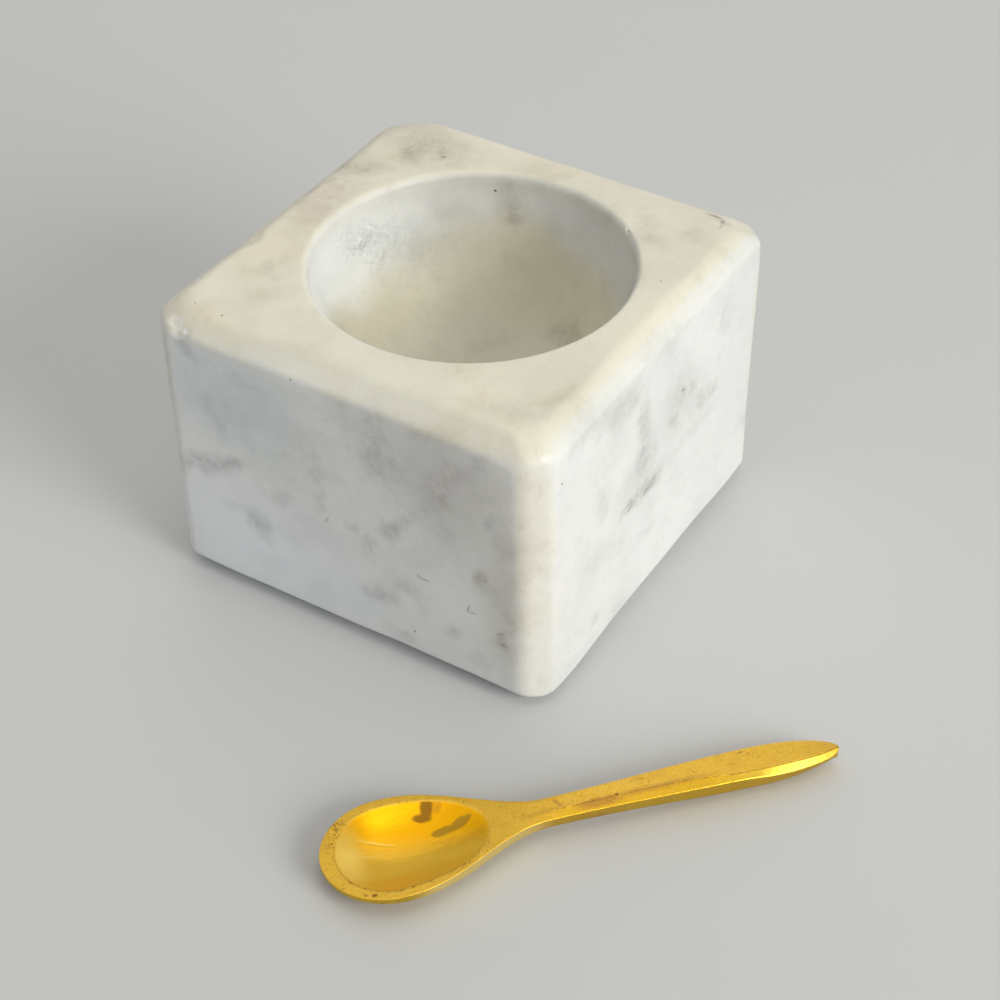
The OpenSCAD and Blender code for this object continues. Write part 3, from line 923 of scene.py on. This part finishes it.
def spoon_tree(brass):
    """The spoon as a rule: a sheet of points, laid along its length and once round its section."""
    tree = bpy.data.node_groups.new("Spoon loft", "GeometryNodeTree")
    tree.interface.new_socket("Geometry", in_out="OUTPUT", socket_type="NodeSocketGeometry")
    for label, value in SPOON_SIZES.items():
        kind = "NodeSocketInt" if isinstance(value, int) else "NodeSocketFloat"
        tree.interface.new_socket(label, in_out="INPUT", socket_type=kind).default_value = value
    b = Bench(tree)
    size = b.node("NodeGroupInput")
    sheet = b.node("GeometryNodeMeshGrid", {}, {
        "Size X": 1.0, "Size Y": 2.0, "Vertices X": size["Rows"], "Vertices Y": size["Columns"]})
    x, around, _ = b.parts(b.node("GeometryNodeInputPosition")["Position"])
    along, turn, side = x + 0.5, abs(around), b.math("SIGN", around)

    def stretches(x, counts):
        ends = np.cumsum((0,) + counts) / sum(counts)
        return [b.part(x, float(a), float(e)) for a, e in zip(ends[:-1], ends[1:])]

    def swing(x):
        return (1.0 - b.math("COSINE", x * math.pi)) / 2.0

    def arch(x):
        return b.math("SQRT", b.most(1.0 - x * x, 0.0))

    def quarter(x):
        return b.math("SINE", x * (math.pi / 2))

    def bend(x, soft):
        held = b.least(b.most(x, -soft), soft) + soft
        return b.most(held * held / (soft * 4.0), x)

    def passing(names, shares):
        """What passes from each named size to the next one, by a share for each step."""
        total = size[names[0]]
        for before, after, share in zip(names, names[1:], shares):
            total = total + (size[after] - size[before]) * share
        return total

    reach, neck, end = size["Scoop Reach"], size["Neck Distance"], size["Hollow End"]
    rim, length = size["Rim Width"], size["Length"]
    widest = length - size["Handle End"]
    front, to_reach, to_end, to_neck, to_widest, to_tip = stretches(along, ROW_COUNTS)
    s = rim * front * front + (reach - rim) * (1.0 - b.math("COSINE", to_reach * (math.pi / 2)))
    s = s + (end - reach) * quarter(to_end) + (neck - end) * to_neck
    s = s + (widest - neck) * to_widest + size["Handle End"] * quarter(to_tip)

    past_reach, past_neck = b.part(s, reach, neck), b.part(s, neck, widest)
    past_widest = b.part(s, widest, length)
    by_hollow = swing(b.part(s, s * 0.0, end))
    onto_handle = swing(b.part(s, end, neck))
    half_scoop, half_neck, half_handle = (
        size[name] / 2.0 for name in ("Scoop Width", "Neck Width", "Handle Width"))
    nose = arch(1.0 - b.least(s / reach, 1.0))
    w = half_scoop * nose + (half_neck - half_scoop) * swing(past_reach ** NARROWING)
    w = (w + (half_handle - half_neck) * swing(past_neck)) * arch(past_widest)
    rise = size["Neck Height"] - size["Rim Height"]
    top = passing(("Rim Height", "Neck Height", "Tip Height"),
                  (quarter(b.least(s / neck, 1.0)), b.part(s, neck, length) ** TIP_FALL))
    neck_keel = size["Neck Height"] - size["Neck Thickness"]
    keel = (size["Rim Height"] - size["Rim Edge"]) * (1.0 - nose)
    keel = keel + neck_keel * (swing(past_reach) - swing(past_neck))
    keel = keel + (size["Tip Height"] - size["Tip Thickness"]) * past_widest * past_widest
    tall = passing(("Rim Edge", "Neck Side", "Handle Side"), (by_hollow, swing(past_neck)))
    tall = tall + (size["Tip Side"] - size["Handle Side"]) * past_widest * past_widest
    lean = b.least(size["Side Lean"] * by_hollow, w * 0.5)

    # The hollow, and the crease that runs down the near half of the handle
    hollow_wide = half_scoop - size["Rim Side"]
    hollow_place = b.most((reach - s) / (reach - rim), 0.0)
    hollow_place = hollow_place + b.most((s - reach) / (end - reach), 0.0)
    inner = b.most(hollow_wide * arch(b.least(hollow_place, 1.0)), w * (0.06 + 0.5 * onto_handle))
    deep = size["Rim Height"] + rise * HOLLOW_RISE - size["Scoop Wall"]
    share = s / length
    crease_slope = b.curve(share, CREASE_SLOPE)
    near_line = b.least(w, half_handle) * b.curve(share, CREASE_LINE)
    far_line = w - size["Far Bevel"]

    def inside(across):
        """1 in the middle of the hollow, 0 on its edge, less outside it."""
        return 1.0 - hollow_place * hollow_place - (across / hollow_wide) ** 2.0

    def top_drop(across):
        hollow = deep * bend(inside(across), size["Hollow Lip"])
        near = crease_slope * bend(-across - near_line, size["Edge Softness"])
        far = onto_handle * FAR_BEVEL_SLOPE * bend(across - far_line, size["Edge Softness"])
        return hollow + near + far

    inner_part, rim_part, edge_part, side_part, belly_part = stretches(turn, COLUMN_COUNTS)
    ease = b.least(size["Edge Softness"], w * 0.6)
    p = inner * inner_part * (1.6 - 0.6 * inner_part) + (w - ease - inner) * rim_part
    p = p + ease * 2.0 * edge_part
    flat_side = tall - top_drop(side * w)
    p = p + (flat_side - ease) * side_part
    q = p - w
    out = w - bend(-q, ease)
    down = bend(q, ease)
    low = 1.0 - belly_part
    t = (out - lean * b.part(down, down * 0.0, flat_side)) * low * side
    z = top - top_drop(out * side) - down - (top - tall - keel) * (1.0 - low ** BELLY)
    marks = {
        "hollow": inside(out),
        "crease": (out * side + near_line) / MM,
        "side": b.part(down, SIDE_FROM, SIDE_TO),
    }
    marked = sheet["Mesh"]
    for name, value in marks.items():
        settings = {"data_type": "FLOAT", "domain": "POINT"}
        sockets = {"Geometry": marked, "Name": name, "Value": value}
        marked = b.node("GeometryNodeStoreNamedAttribute", settings, sockets)["Geometry"]
    cosine, sine = b.math("COSINE", size["Angle"]), b.math("SINE", size["Angle"])
    x = size["Start X"] + s * cosine - t * sine
    y = size["Start Y"] + s * sine + t * cosine
    where = b.node("ShaderNodeCombineXYZ", {}, {"X": x, "Y": y, "Z": z})["Vector"]
    laid = b.shaped("SetPosition", marked, Position=where)
    closed = b.shaped("MergeByDistance", laid, Distance=WELD)
    # Small dents and file marks, which never stand out past the rule's own skin
    spot = b.node("GeometryNodeInputPosition")["Position"]
    large, small = (b.grain(spot, scale, 2.0, 0.5) * share for scale, share in DENTS)
    way = b.node("GeometryNodeInputNormal")["Normal"]
    offset = b.scaled(way, -(size["Wobble"] * (large + small)))
    worn = b.shaped("SetShadeSmooth", b.shaped("SetPosition", closed, Offset=offset))
    painted = b.shaped("SetMaterial", b.shaped("RealizeInstances", worn), Material=brass)
    b.node("NodeGroupOutput", {}, {"Geometry": painted})
    return tree


def principled(name):
    """A new material with one Principled shader. Gives the material, its bench and the shader."""
    material = bpy.data.materials.new(name)
    material.use_nodes = True
    tree = material.node_tree
    tree.nodes.clear()
    b = Bench(tree)
    shader = b.node("ShaderNodeBsdfPrincipled")
    b.node("ShaderNodeOutputMaterial", {}, {"Surface": shader["BSDF"]})
    return material, b, shader.node


def finish_shader(b, shader, values):
    for name, value in values.items():
        b.feed(shader.inputs[name], value)


# The stone's colors
STONE = {
    "cloud": (0.81, 0.82, 0.80),
    "white": (0.885, 0.885, 0.86),
    "haze": (0.58, 0.60, 0.58),
    "mottle": (0.64, 0.65, 0.63),
    "light mottle": (0.94, 0.94, 0.93),
    "band": (0.50, 0.52, 0.50),
    "light rub": (0.93, 0.94, 0.93),
    "fleck": (0.90, 0.90, 0.87),
    "painted_warm_light": (0.985, 0.93, 0.785),
    "tanned": (0.94, 0.89, 0.81),
    "painted_bowl_shade": (0.82, 0.77, 0.635),
    "painted_wall_shade": (0.66, 0.655, 0.65),
    "stroke": (0.22, 0.20, 0.175),
    "fresh": (0.96, 0.96, 0.95),
    "pit_dark": (0.10, 0.085, 0.07),
}
# Where the stone is painted warm, standing in for the warm light from above, in millimetres: above
# these heights, and on the upright edges, where x and y add up to EDGE_SUM. Then where most of that
# is taken off again, along the top's right edge away from the front: past the first pair on the
# last line below, in x and a fifth of z, and past the second pair, in y.
PAINTED_WARM_ABOVE = (50.0, 53.4)
EDGE_SUM, EDGE_FADE = 71.5, 0.9
EDGE_HEIGHTS = (10.0, 46.0)
WARM_OFF_FROM, WARM_OFF_BEHIND = (46.1, 47.6), (-40.0, -27.0)
# Tilt and turn of the hairline scratches, and of the rubs on the bowl's wall
SCRATCH_WAYS = ((0.35, 0.5), (-0.5, 1.4), (0.2, 2.5))
RUB_WAYS = ((0.45, 1.75), (-0.62, 1.45))


def marble():
    """White marble, honed: cloudy, with grey smudges, hairlines, worn edges and a sparkle."""
    material, b, shader = principled("White marble, honed")
    stone = b.place(b.node("ShaderNodeTexCoord")["Object"], scale=(1 / MM,) * 3)

    def push(scale, detail, rough, reach):
        """A vector that strays through the stone, by half of reach each way."""
        noise = b.grain(stone, scale, detail, rough, "Color")
        return b.vector("MULTIPLY_ADD", noise, (reach,) * 3, (-reach / 2,) * 3)

    warped = b.vector("ADD", stone, push(0.16, 4.0, 0.6, 5.0))
    ragged = push(0.7, 5.0, 0.65, 3.2)
    near = b.vector("ADD", stone, ragged)
    slight = b.vector("ADD", stone, b.scaled(ragged, 0.18))

    # Broad clouds, smaller haze and a fine mottle, all in the same soft greys
    clouds = b.smooth(b.grain(warped, 0.045, 3.0, 0.55), 0.34, 0.66)
    paint = Paint(b, STONE, b.mix_color(clouds, STONE["cloud"], STONE["white"]))
    over = paint.over
    haze = b.grain(warped, 0.11, 6.0, 0.66)
    over(b.smooth(haze, 0.5, 0.8) * 0.45, "haze")
    mottle = b.grain(near, 0.8, 4.0, 0.7)
    over(b.smooth(mottle, 0.5, 0.8) * 0.35, "mottle")
    over(b.smooth(mottle, 0.46, 0.2) * 0.35, "light mottle")
    # Soft broken bands, where a warped noise crosses its middle
    leaning = b.place(warped, (13, 5, 0), (0.5, 0.2, 0.4))
    band = abs(b.grain(leaning, 0.035, 3.0, 0.55) - 0.5)
    patchy = b.smooth(b.grain(stone, 0.07, 2.0, 0.5), 0.48, 0.7)
    over(b.smooth(band, 0.07, 0.0) * patchy * 0.2, "band")

    # Hairlines, and short broad rubs that cross each other, dark ones and light ones
    lines, rubs, lights = 0.0, 0.0, 0.0
    for tilt, turn in SCRATCH_WAYS:
        long = b.place(stone, (turn * 30, 0, 0), (0, tilt, turn), (16.0, 0.7, 0.7), "TEXTURE")
        away = abs(b.grain(long, 1.0, 1.0, 0.4) - 0.5)
        lines = b.most(lines, b.smooth(away, 0.02, 0.0))
    for tilt, turn in RUB_WAYS:
        long = b.place(slight, (turn * 50, 0, 0), (0, tilt, turn), (4.8, 0.85, 0.85), "TEXTURE")
        rubbing = b.grain(long, 1.0, 2.0, 0.55)
        rubs = b.most(rubs, b.smooth(rubbing, 0.56, 0.68))
        lights = b.most(lights, b.smooth(rubbing, 0.42, 0.32))
    # The smudges drawn on the mesh, ragged and flecked with white
    texture = 0.5 + 0.5 * b.smooth(b.grain(warped, 0.6, 3.0, 0.55), 0.32, 0.62)
    fleck = b.smooth(b.grain(near, 1.5, 3.0, 0.65), 0.56, 0.68)
    for tint, shade in SMUDGE_TINTS.items():
        mask = b.mark(tint)
        if tint in ("pale", "cool", "warm"):
            over(mask, shade, "MIX" if tint == "pale" else "MULTIPLY")
        elif tint == "scuffed":
            patch = b.smooth(b.grain(stone, 0.22, 3.0, 0.6) + 0.3 * mask, 0.52, 0.76)
            over(mask * patch * rubs * 0.46, shade)
            over(mask * patch * lights * 0.7, "light rub")
            scuffed = mask
        else:
            over(mask * texture, shade)
            over(mask * fleck * 0.6, "fleck")

    # The top, its bevels and the upright edges are painted warm, standing in for the warm light
    # from above; the bowl is left out of it
    x, y, z = b.parts(stone)
    across = b.vector("SUBTRACT", b.place(stone, scale=(1, 1, 0)), (BOWL_X, BOWL_Y, 0.0))
    far = b.vector("LENGTH", across, out="Value")
    within = b.smooth(far, BOWL_RADIUS + 1.2, BOWL_RADIUS - 0.6)
    within = within * b.smooth(z, BOWL_FROM, BOWL_FROM + 1.0)
    stray = 14.0 * (haze - 0.5)
    edges = abs(x) + abs(y) - EDGE_SUM
    upright = b.smooth(edges + 0.1 * stray, -EDGE_FADE, EDGE_FADE)
    upright = upright * (0.35 + 0.3 * b.smooth(z, *EDGE_HEIGHTS))
    painted_warm_light = b.most(b.smooth(z + 0.3 * stray, *PAINTED_WARM_ABOVE), upright) * (1.0 - within)
    past_corner = b.smooth(y + 0.2 * stray, *WARM_OFF_BEHIND)
    warm_kept = 1.0 - 0.8 * b.smooth(x + 0.2 * z, *WARM_OFF_FROM) * past_corner
    over(painted_warm_light * 0.9 * warm_kept, "painted_warm_light", "MULTIPLY")
    tanned = b.smooth(b.grain(warped, 0.055, 5.0, 0.62), 0.40, 0.66) * painted_warm_light * warm_kept
    over(tanned * 0.5, "tanned", "MULTIPLY")
    # Painted shade in the bowl: darker and warmer deep down, and darker on part of its wall
    painted_bowl_shade = b.mark("painted_bowl_shade")
    over(painted_bowl_shade, "painted_bowl_shade", "MULTIPLY")
    over(b.mark("painted_wall_shade") * (1.0 - 0.7 * painted_bowl_shade), "painted_wall_shade", "MULTIPLY")

    # Small dark strokes, fresh chips of white sugary stone, and the pin-holes darkened
    stroke = 0.0
    for place, radii, turn, strength in STROKES:
        angle = math.radians(turn)
        turned = {(0, 1): (0, 0, angle), (0, 2): (0, -angle, 0), (1, 2): (angle, 0, 0)}
        local = b.place(slight, place, turned[spanned(place)], radii, "TEXTURE")
        away = b.vector("LENGTH", local, out="Value")
        stroke = b.most(stroke, b.smooth(away, 1.5, 0.2) * strength)
    over(stroke * 0.8, "stroke")
    chipped = b.mark("chipped")
    fresh = chipped * (0.3 + 0.7 * b.smooth(b.grain(stone, 2.2, 4.0, 0.7), 0.42, 0.6))
    over(fresh * 0.75, "fresh")
    over(b.mark("pit_dark") * 0.85, "pit_dark")

    crystals = b.node("ShaderNodeTexVoronoi", {"feature": "F1"}, {"Vector": stone, "Scale": 2.6})
    sparkle = b.grain(stone, 3.2, 2.0, 0.6)
    elsewhere = b.smooth(b.grain(stone, 0.11, 2.0, 0.5), 0.5, 0.62) * 0.5
    lines = lines * b.most(scuffed, elsewhere)
    rough = 0.36 + 0.16 * b.grain(stone, 0.5, 3.0, 0.6) + 0.14 * (sparkle - 0.5)
    height = 0.10 * b.grain(stone, 0.9, 5.0, 0.65) + 0.030 * crystals["Distance"] + 0.02 * sparkle
    height = height + 0.25 * chipped * b.grain(stone, 1.8, 4.0, 0.75) - 0.08 * lines - 0.15 * stroke
    bump = b.node("ShaderNodeBump", {}, {"Strength": 0.5, "Distance": MM, "Height": height})
    finish_shader(b, shader, {
        "Base Color": paint.color,
        "Roughness": rough + 0.3 * chipped + 0.2 * lines,
        "Normal": bump["Normal"],
        "Subsurface Weight": 0.25,
        "Subsurface Radius": (1.0, 0.9, 0.75),
        "Subsurface Scale": 0.0016,
        "IOR": 1.5,
    })
    return material


# The brass's colors
BRASS = {
    "dark grain": (0.93, 0.53, 0.045),
    "light grain": (1.0, 0.64, 0.085),
    # The hollow's colors, painted reflection
    "near half": (1.0, 0.59, 0.045),
    "near wall": (1.0, 0.53, 0.008),
    "far half": (1.0, 0.50, 0.006),
    "frosted": (1.0, 0.72, 0.16),
    # Painted highlight lines near the nose, and the painted dark line under the first
    "painted dark line": (0.55, 0.32, 0.02),
    "painted highlight line": (1.0, 0.82, 0.20),
    "blotch": (0.72, 0.42, 0.07),
    "burnished": (0.78, 0.46, 0.02),
    "burnished tip": (0.94, 0.66, 0.07),
    # Painted shade on the sides, and a painted highlight on the near side of the neck
    "side": (0.64, 0.42, 0.02),
    "lit side": (1.0, 0.86, 0.36),
    "groove": (0.34, 0.18, 0.03),
    "tarnish": (0.48, 0.21, 0.05),
    "reddish": (0.60, 0.26, 0.02),
    "faint": (0.42, 0.25, 0.03),
    "stain": (0.31, 0.15, 0.02),
    "glint": (1.0, 0.80, 0.34),
    "fleck": (0.30, 0.12, 0.025),
}
# Along the spoon, in millimetres from its nose: where the handle begins, and its tip, and where
# the near side begins and ends to be lit
HANDLE_FROM, TIP_FROM = (30.0, 40.0), (62.0, 72.0)
LIT_FROM, LIT_TO = (11.0, 17.0), (38.0, 31.0)
# Across it, from its middle line: where the hollow's far half begins, and its near wall
FAR_HALF, NEAR_WALL = (1.0, 7.5), (-3.6, -5.4)
# Marks on the brass, in millimetres from the spoon's nose and its middle line: place, radii, turn,
# how soft the edge is and how far it strays, and the strength. The strongest one counts.
BRASS_MARKS = {
    "frosted": (((4.2, 1.4), (2.2, 5.4), 0, 0.9, 0.8, 1.0),),
    # The thin lines are painted highlights, and the line under the first a painted dark reflection
    "painted highlight line": (
        ((9.4, 2.9), (2.7, 0.17), -22, 0.6, 0.25, 1.0),
        ((7.0, 0.8), (2.5, 0.2), -5, 0.6, 0.25, 0.7),
    ),
    "painted dark line": (((9.7, 2.45), (2.3, 0.14), -20, 0.6, 0.25, 1.0),),
    "tarnish": (
        ((44.5, -1.1), (3.6, 0.8), 0, 0.5, 0.5, 1.0),
        ((53.0, -0.8), (9.0, 0.6), 0, 0.6, 0.5, 0.6),
        ((36.0, -0.5), (4.0, 0.5), 4, 0.6, 0.5, 0.4),
        ((38.0, 0.6), (1.0, 0.4), -60, 0.5, 0.4, 0.8),
    ),
    "stain": (
        ((18.4, 6.3), (0.95, 2.0), -14, 0.3, 0.5, 1.0),
        ((17.3, 4.9), (1.5, 0.75), -16, 0.3, 0.4, 1.0),
    ),
    "reddish": (((20.0, 6.3), (0.8, 1.5), -14, 0.4, 0.4, 1.0),),
    "faint": (
        ((19.8, 1.6), (1.9, 0.75), 0, 0.2, 0.4, 1.0),
        ((22.6, 2.0), (2.0, 0.85), 18, 0.2, 0.4, 1.0),
    ),
    "rough patch": (((4.0, 5.6), (2.2, 3.4), -40, 0.6, 1.0, 1.0),),
    "filed": (((52.0, 1.0), (9.0, 1.4), 0, 0.6, 1.0, 1.0),),
    "dots": (
        ((6.5, -8.2), (0.45, 0.3), 0, 0.4, 0.1, 1.0),
        ((5.2, -7.8), (0.3, 0.2), 0, 0.4, 0.1, 0.8),
        ((47.4, -0.5), (0.32, 0.3), 0, 0.4, 0.2, 1.0),
        ((69.0, 2.2), (0.6, 0.2), 10, 0.4, 0.2, 0.7),
    ),
}


def brass():
    """Brass, cast and filed: polished in the hollow, grainy on its flats, tarnished in places."""
    material, b, shader = principled("Brass, cast and filed")
    metal = b.node("ShaderNodeTexCoord")["Object"]
    start = (SPOON_SIZES["Start X"], SPOON_SIZES["Start Y"], 0.0)
    own = b.place(metal, start, (0, 0, SPOON_SIZES["Angle"]), (MM, MM, MM), "TEXTURE")
    s, t, _ = b.parts(own)
    warp = (b.grain(own, 0.8, 3.0, 0.6) - 0.5) * 1.6

    def marked(name):
        """1 inside the ovals of that name, 0 outside them."""
        found = 0.0
        for place, radii, turn, soft, far, strength in BRASS_MARKS[name]:
            c, n = math.cos(math.radians(turn)), math.sin(math.radians(turn))
            ds, dt = s + far * warp - place[0], t + far * warp - place[1]
            along, across = (ds * c + dt * n) / radii[0], (dt * c - ds * n) / radii[1]
            away = b.math("SQRT", along * along + across * across)
            found = b.most(found, b.smooth(away, 1.0 + soft, 1.0 - soft) * strength)
        return found

    inside, crease, on_side = b.mark("hollow"), b.mark("crease"), b.mark("side")
    in_hollow = b.smooth(inside, -0.02, 0.05)
    on_flats = 1.0 - in_hollow
    grain = b.grain(own, 2.4, 4.0, 0.65)
    fine = b.grain(own, 7.0, 3.0, 0.7)
    filed = b.mix_color(b.smooth(grain, 0.3, 0.7), BRASS["dark grain"], BRASS["light grain"])
    paint = Paint(b, BRASS, filed)
    over = paint.over

    # The hollow's colors are painted reflection, the brass mirrored in itself: its far half and its
    # near wall are deep orange, its near half and its nose are paler
    far_half = b.smooth(t + 0.25 * s + 0.5 * warp, *FAR_HALF)
    near_wall = b.smooth(t + 0.4 * warp, *NEAR_WALL)
    near_half = b.mix_color(near_wall, BRASS["near half"], BRASS["near wall"])
    over(in_hollow, b.mix_color(far_half, near_half, BRASS["far half"]))
    frosted = marked("frosted") * in_hollow
    over(frosted * 0.7, "frosted")
    # Painted highlights: thin light lines near the nose, and a painted dark reflection line under
    # the first
    over(marked("painted dark line") * in_hollow * 0.5, "painted dark line")
    over(marked("painted highlight line") * 0.55 * in_hollow, "painted highlight line")
    blotch = b.smooth(b.grain(own, 0.35, 4.0, 0.6), 0.5, 0.75) * on_flats
    over(blotch * 0.35, "blotch")
    # Below the crease the handle is burnished. Its sides are painted darker, as painted shade, and
    # the near side of the neck lighter, as a painted highlight
    on_handle = b.smooth(s, *HANDLE_FROM)
    below = b.smooth(crease, 0.02, -0.12) * on_handle * (1.0 - on_side)
    at_tip = b.smooth(s + warp, *TIP_FROM)
    over(below * 0.8, b.mix_color(at_tip, BRASS["burnished"], BRASS["burnished tip"]))
    lit_neck = b.smooth(s, *LIT_FROM) * b.smooth(s, *LIT_TO) * b.smooth(t, 0.0, -1.0)
    over(on_side * 0.8 * (1.0 - lit_neck), "side")
    over(on_side * 0.65 * lit_neck, "lit side")
    ragged = (0.12 * (fine - 0.5) + 0.5 * (grain - 0.5)) * (1.0 - 0.75 * at_tip)
    groove = b.smooth(abs(crease + ragged), 0.15, 0.03) * on_handle * (1.0 - on_side)
    groove = groove * b.most(b.smooth(b.grain(own, 0.5, 2.0, 0.6), 0.38, 0.55), at_tip)
    over(groove * 0.75, "groove")
    # Reddish tarnish along the crease, brown stains in the hollow
    over(marked("tarnish") * 0.72, "tarnish")
    stain, faint = marked("stain") * in_hollow, marked("faint")
    over(marked("reddish") * in_hollow * 0.6, "reddish")
    over(faint * 0.75, "faint")
    over(stain * 0.85, "stain")
    stain = b.most(stain, faint * 0.6)
    # Dark flecks where the filing stopped, and small glints
    ring = b.smooth(inside, -0.16, -0.03) * on_flats * b.smooth(t, -1.0, -5.0)
    rough_patch = b.most(ring, marked("rough patch"))
    crowd = b.smooth(b.grain(own, 0.45, 3.0, 0.6), 0.42, 0.66) * (1.0 - below)
    fleck_size = b.grain(own, 3.2, 3.0, 0.75) + 0.07 * rough_patch + 0.05 * crowd
    flecks = b.smooth(fleck_size, 0.60, 0.68) * on_flats
    flecks = flecks * (0.3 + 0.7 * b.most(rough_patch, crowd * 0.7))
    glints = b.smooth(b.grain(own, 4.6, 3.0, 0.7), 0.56, 0.68) * on_flats * (1.0 - on_side)
    over(glints * (0.55 + 0.35 * marked("filed")), "glint")
    over(b.most(flecks * 0.7, marked("dots") * 0.85), "fleck")

    brushed = b.grain(b.place(own, scale=(0.5, 7.0, 3.0)), 1.0, 3.0, 0.6)
    dull = 0.26 + 0.14 * fine + 0.12 * (brushed - 0.5) + 0.2 * blotch
    dull = dull + (0.12 * at_tip - 0.10) * below
    bright = 0.16 + 0.06 * grain + 0.12 * far_half + 0.20 * frosted
    worn = 0.22 * stain + 0.25 * flecks + 0.2 * groove
    height = on_flats * (1.0 - 0.7 * below) * (0.045 * fine + 0.05 * brushed + 0.05 * grain)
    ripples = b.grain(b.place(own, scale=(0.22, 0.6, 0.6)), 1.0, 2.0, 0.5)
    height = height + 0.006 * grain + 0.09 * ripples * in_hollow - 0.06 * groove - 0.05 * flecks
    bump = b.node("ShaderNodeBump", {}, {"Strength": 0.7, "Distance": MM, "Height": height})
    finish_shader(b, shader, {
        "Base Color": paint.color,
        "Roughness": dull * on_flats + bright * in_hollow + worn,
        "Normal": bump["Normal"],
        "Metallic": 0.97 - in_hollow * (1.0 - far_half) * (0.45 + 0.2 * frosted),
    })
    return material


# Half the width of the table's top, in metres
FLOOR_HALF = 3.0


def pale_floor():
    """A plain pale table."""
    material, b, shader = principled("Pale studio floor")
    finish_shader(b, shader, {"Base Color": (0.63, 0.635, 0.64), "Roughness": 0.6})
    bm = bmesh.new()
    bmesh.ops.create_grid(bm, x_segments=1, y_segments=1, size=FLOOR_HALF)
    mesh = bpy.data.meshes.new("Floor")
    bm.to_mesh(mesh)
    bm.free()
    mesh.materials.append(material)
    floor = new_object("Floor", mesh)


# The lamps: degrees to the right of the front, degrees up, metres away, width, height, watts, color
LAMPS = {
    "Window at the right": (79, 24, 1.5, 0.8, 0.8, 14.1, (1.0, 1.0, 0.955)),
    "Ceiling": (75, 80, 1.5, 0.6, 0.6, 1.3, (1.0, 0.97, 0.90)),
    "Panel behind": (212, 60, 1.5, 1.2, 1.2, 1.1, (1.0, 0.97, 0.90)),
    "Pale wall behind": (212, 20, 1.6, 1.8, 1.1, 3.7, (1.0, 0.98, 0.96)),
}
# Where the lamps look, above the middle of the block's underside
LAMP_AIM = Vector((0.0, 0.0, 0.03))
# The color of the air below and straight above
AIR_LOW = (0.212, 0.234, 0.272)
AIR_HIGH = (0.87, 0.83, 0.73)


def way_to(azimuth, elevation):
    """The direction to a place, given in degrees to the right of the front and up."""
    a, e = math.radians(azimuth), math.radians(elevation)
    return Vector((math.sin(a) * math.cos(e), -math.cos(a) * math.cos(e), math.sin(e)))


def soft_light(name, azimuth, elevation, distance, wide, tall, power, color):
    """An oval area light that looks at the object and isn't seen itself."""
    light = bpy.data.lights.new(name, "AREA")
    light.shape, light.size, light.size_y = "ELLIPSE", wide, tall
    light.energy, light.color = power, color
    lamp = new_object(name, light)
    lamp.visible_camera = False
    way = way_to(azimuth, elevation)
    lamp.location = way * distance + LAMP_AIM
    lamp.rotation_euler = way.to_track_quat("Z", "Y").to_euler()


def studio():
    world = bpy.data.worlds.new("Studio air")
    bpy.context.scene.world = world
    world.use_nodes = True
    world.node_tree.nodes.clear()
    b = Bench(world.node_tree)
    _, _, up = b.parts(b.node("ShaderNodeTexCoord")["Generated"])
    shade = b.mix_color(b.most(up, 0.0) ** 3.0, AIR_LOW, AIR_HIGH)
    air = b.node("ShaderNodeBackground", {}, {"Color": shade})
    b.node("ShaderNodeOutputWorld", {}, {"Surface": air["Background"]})
    for name, values in LAMPS.items():
        soft_light(name, *values)
    bpy.context.scene.view_settings.view_transform = "Standard"


def photo_camera():
    """The camera where the photograph was taken from."""
    a, roll = math.radians(CAMERA_AZIMUTH), math.radians(CAMERA_ROLL)
    back = way_to(CAMERA_AZIMUTH, CAMERA_ELEVATION)
    right = Vector((math.cos(a), math.sin(a), 0.0))
    up = back.cross(right)
    across = right * math.cos(roll) + up * math.sin(roll)
    above = up * math.cos(roll) - right * math.sin(roll)
    data = bpy.data.cameras.new("Camera")
    data.sensor_width = SENSOR
    data.lens = FOCAL_PIXELS * SENSOR / PHOTO_PIXELS
    camera = new_object("Camera", data)
    where = back * CAMERA_DISTANCE + right * CAMERA_ASIDE[0] + up * CAMERA_ASIDE[1]
    where += Vector((0.0, 0.0, CAMERA_AIM_HEIGHT))
    turned = Matrix((across, above, back)).transposed().to_4x4()
    camera.matrix_world = Matrix.Translation(where) @ turned
    bpy.context.scene.camera = camera


photo_camera()
studio()
pale_floor()

stone = new_object("marble_block_cut", block_mesh())
stone.data.materials.append(marble())
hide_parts("marble_block")
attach(stone, "block")

brass_material = brass()
spoon = new_object("spoon_cast", bpy.data.meshes.new("Spoon"))
run_tree(spoon, spoon_tree(brass_material), SPOON_SIZES)
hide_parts("spoon")
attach(spoon, "spoon")
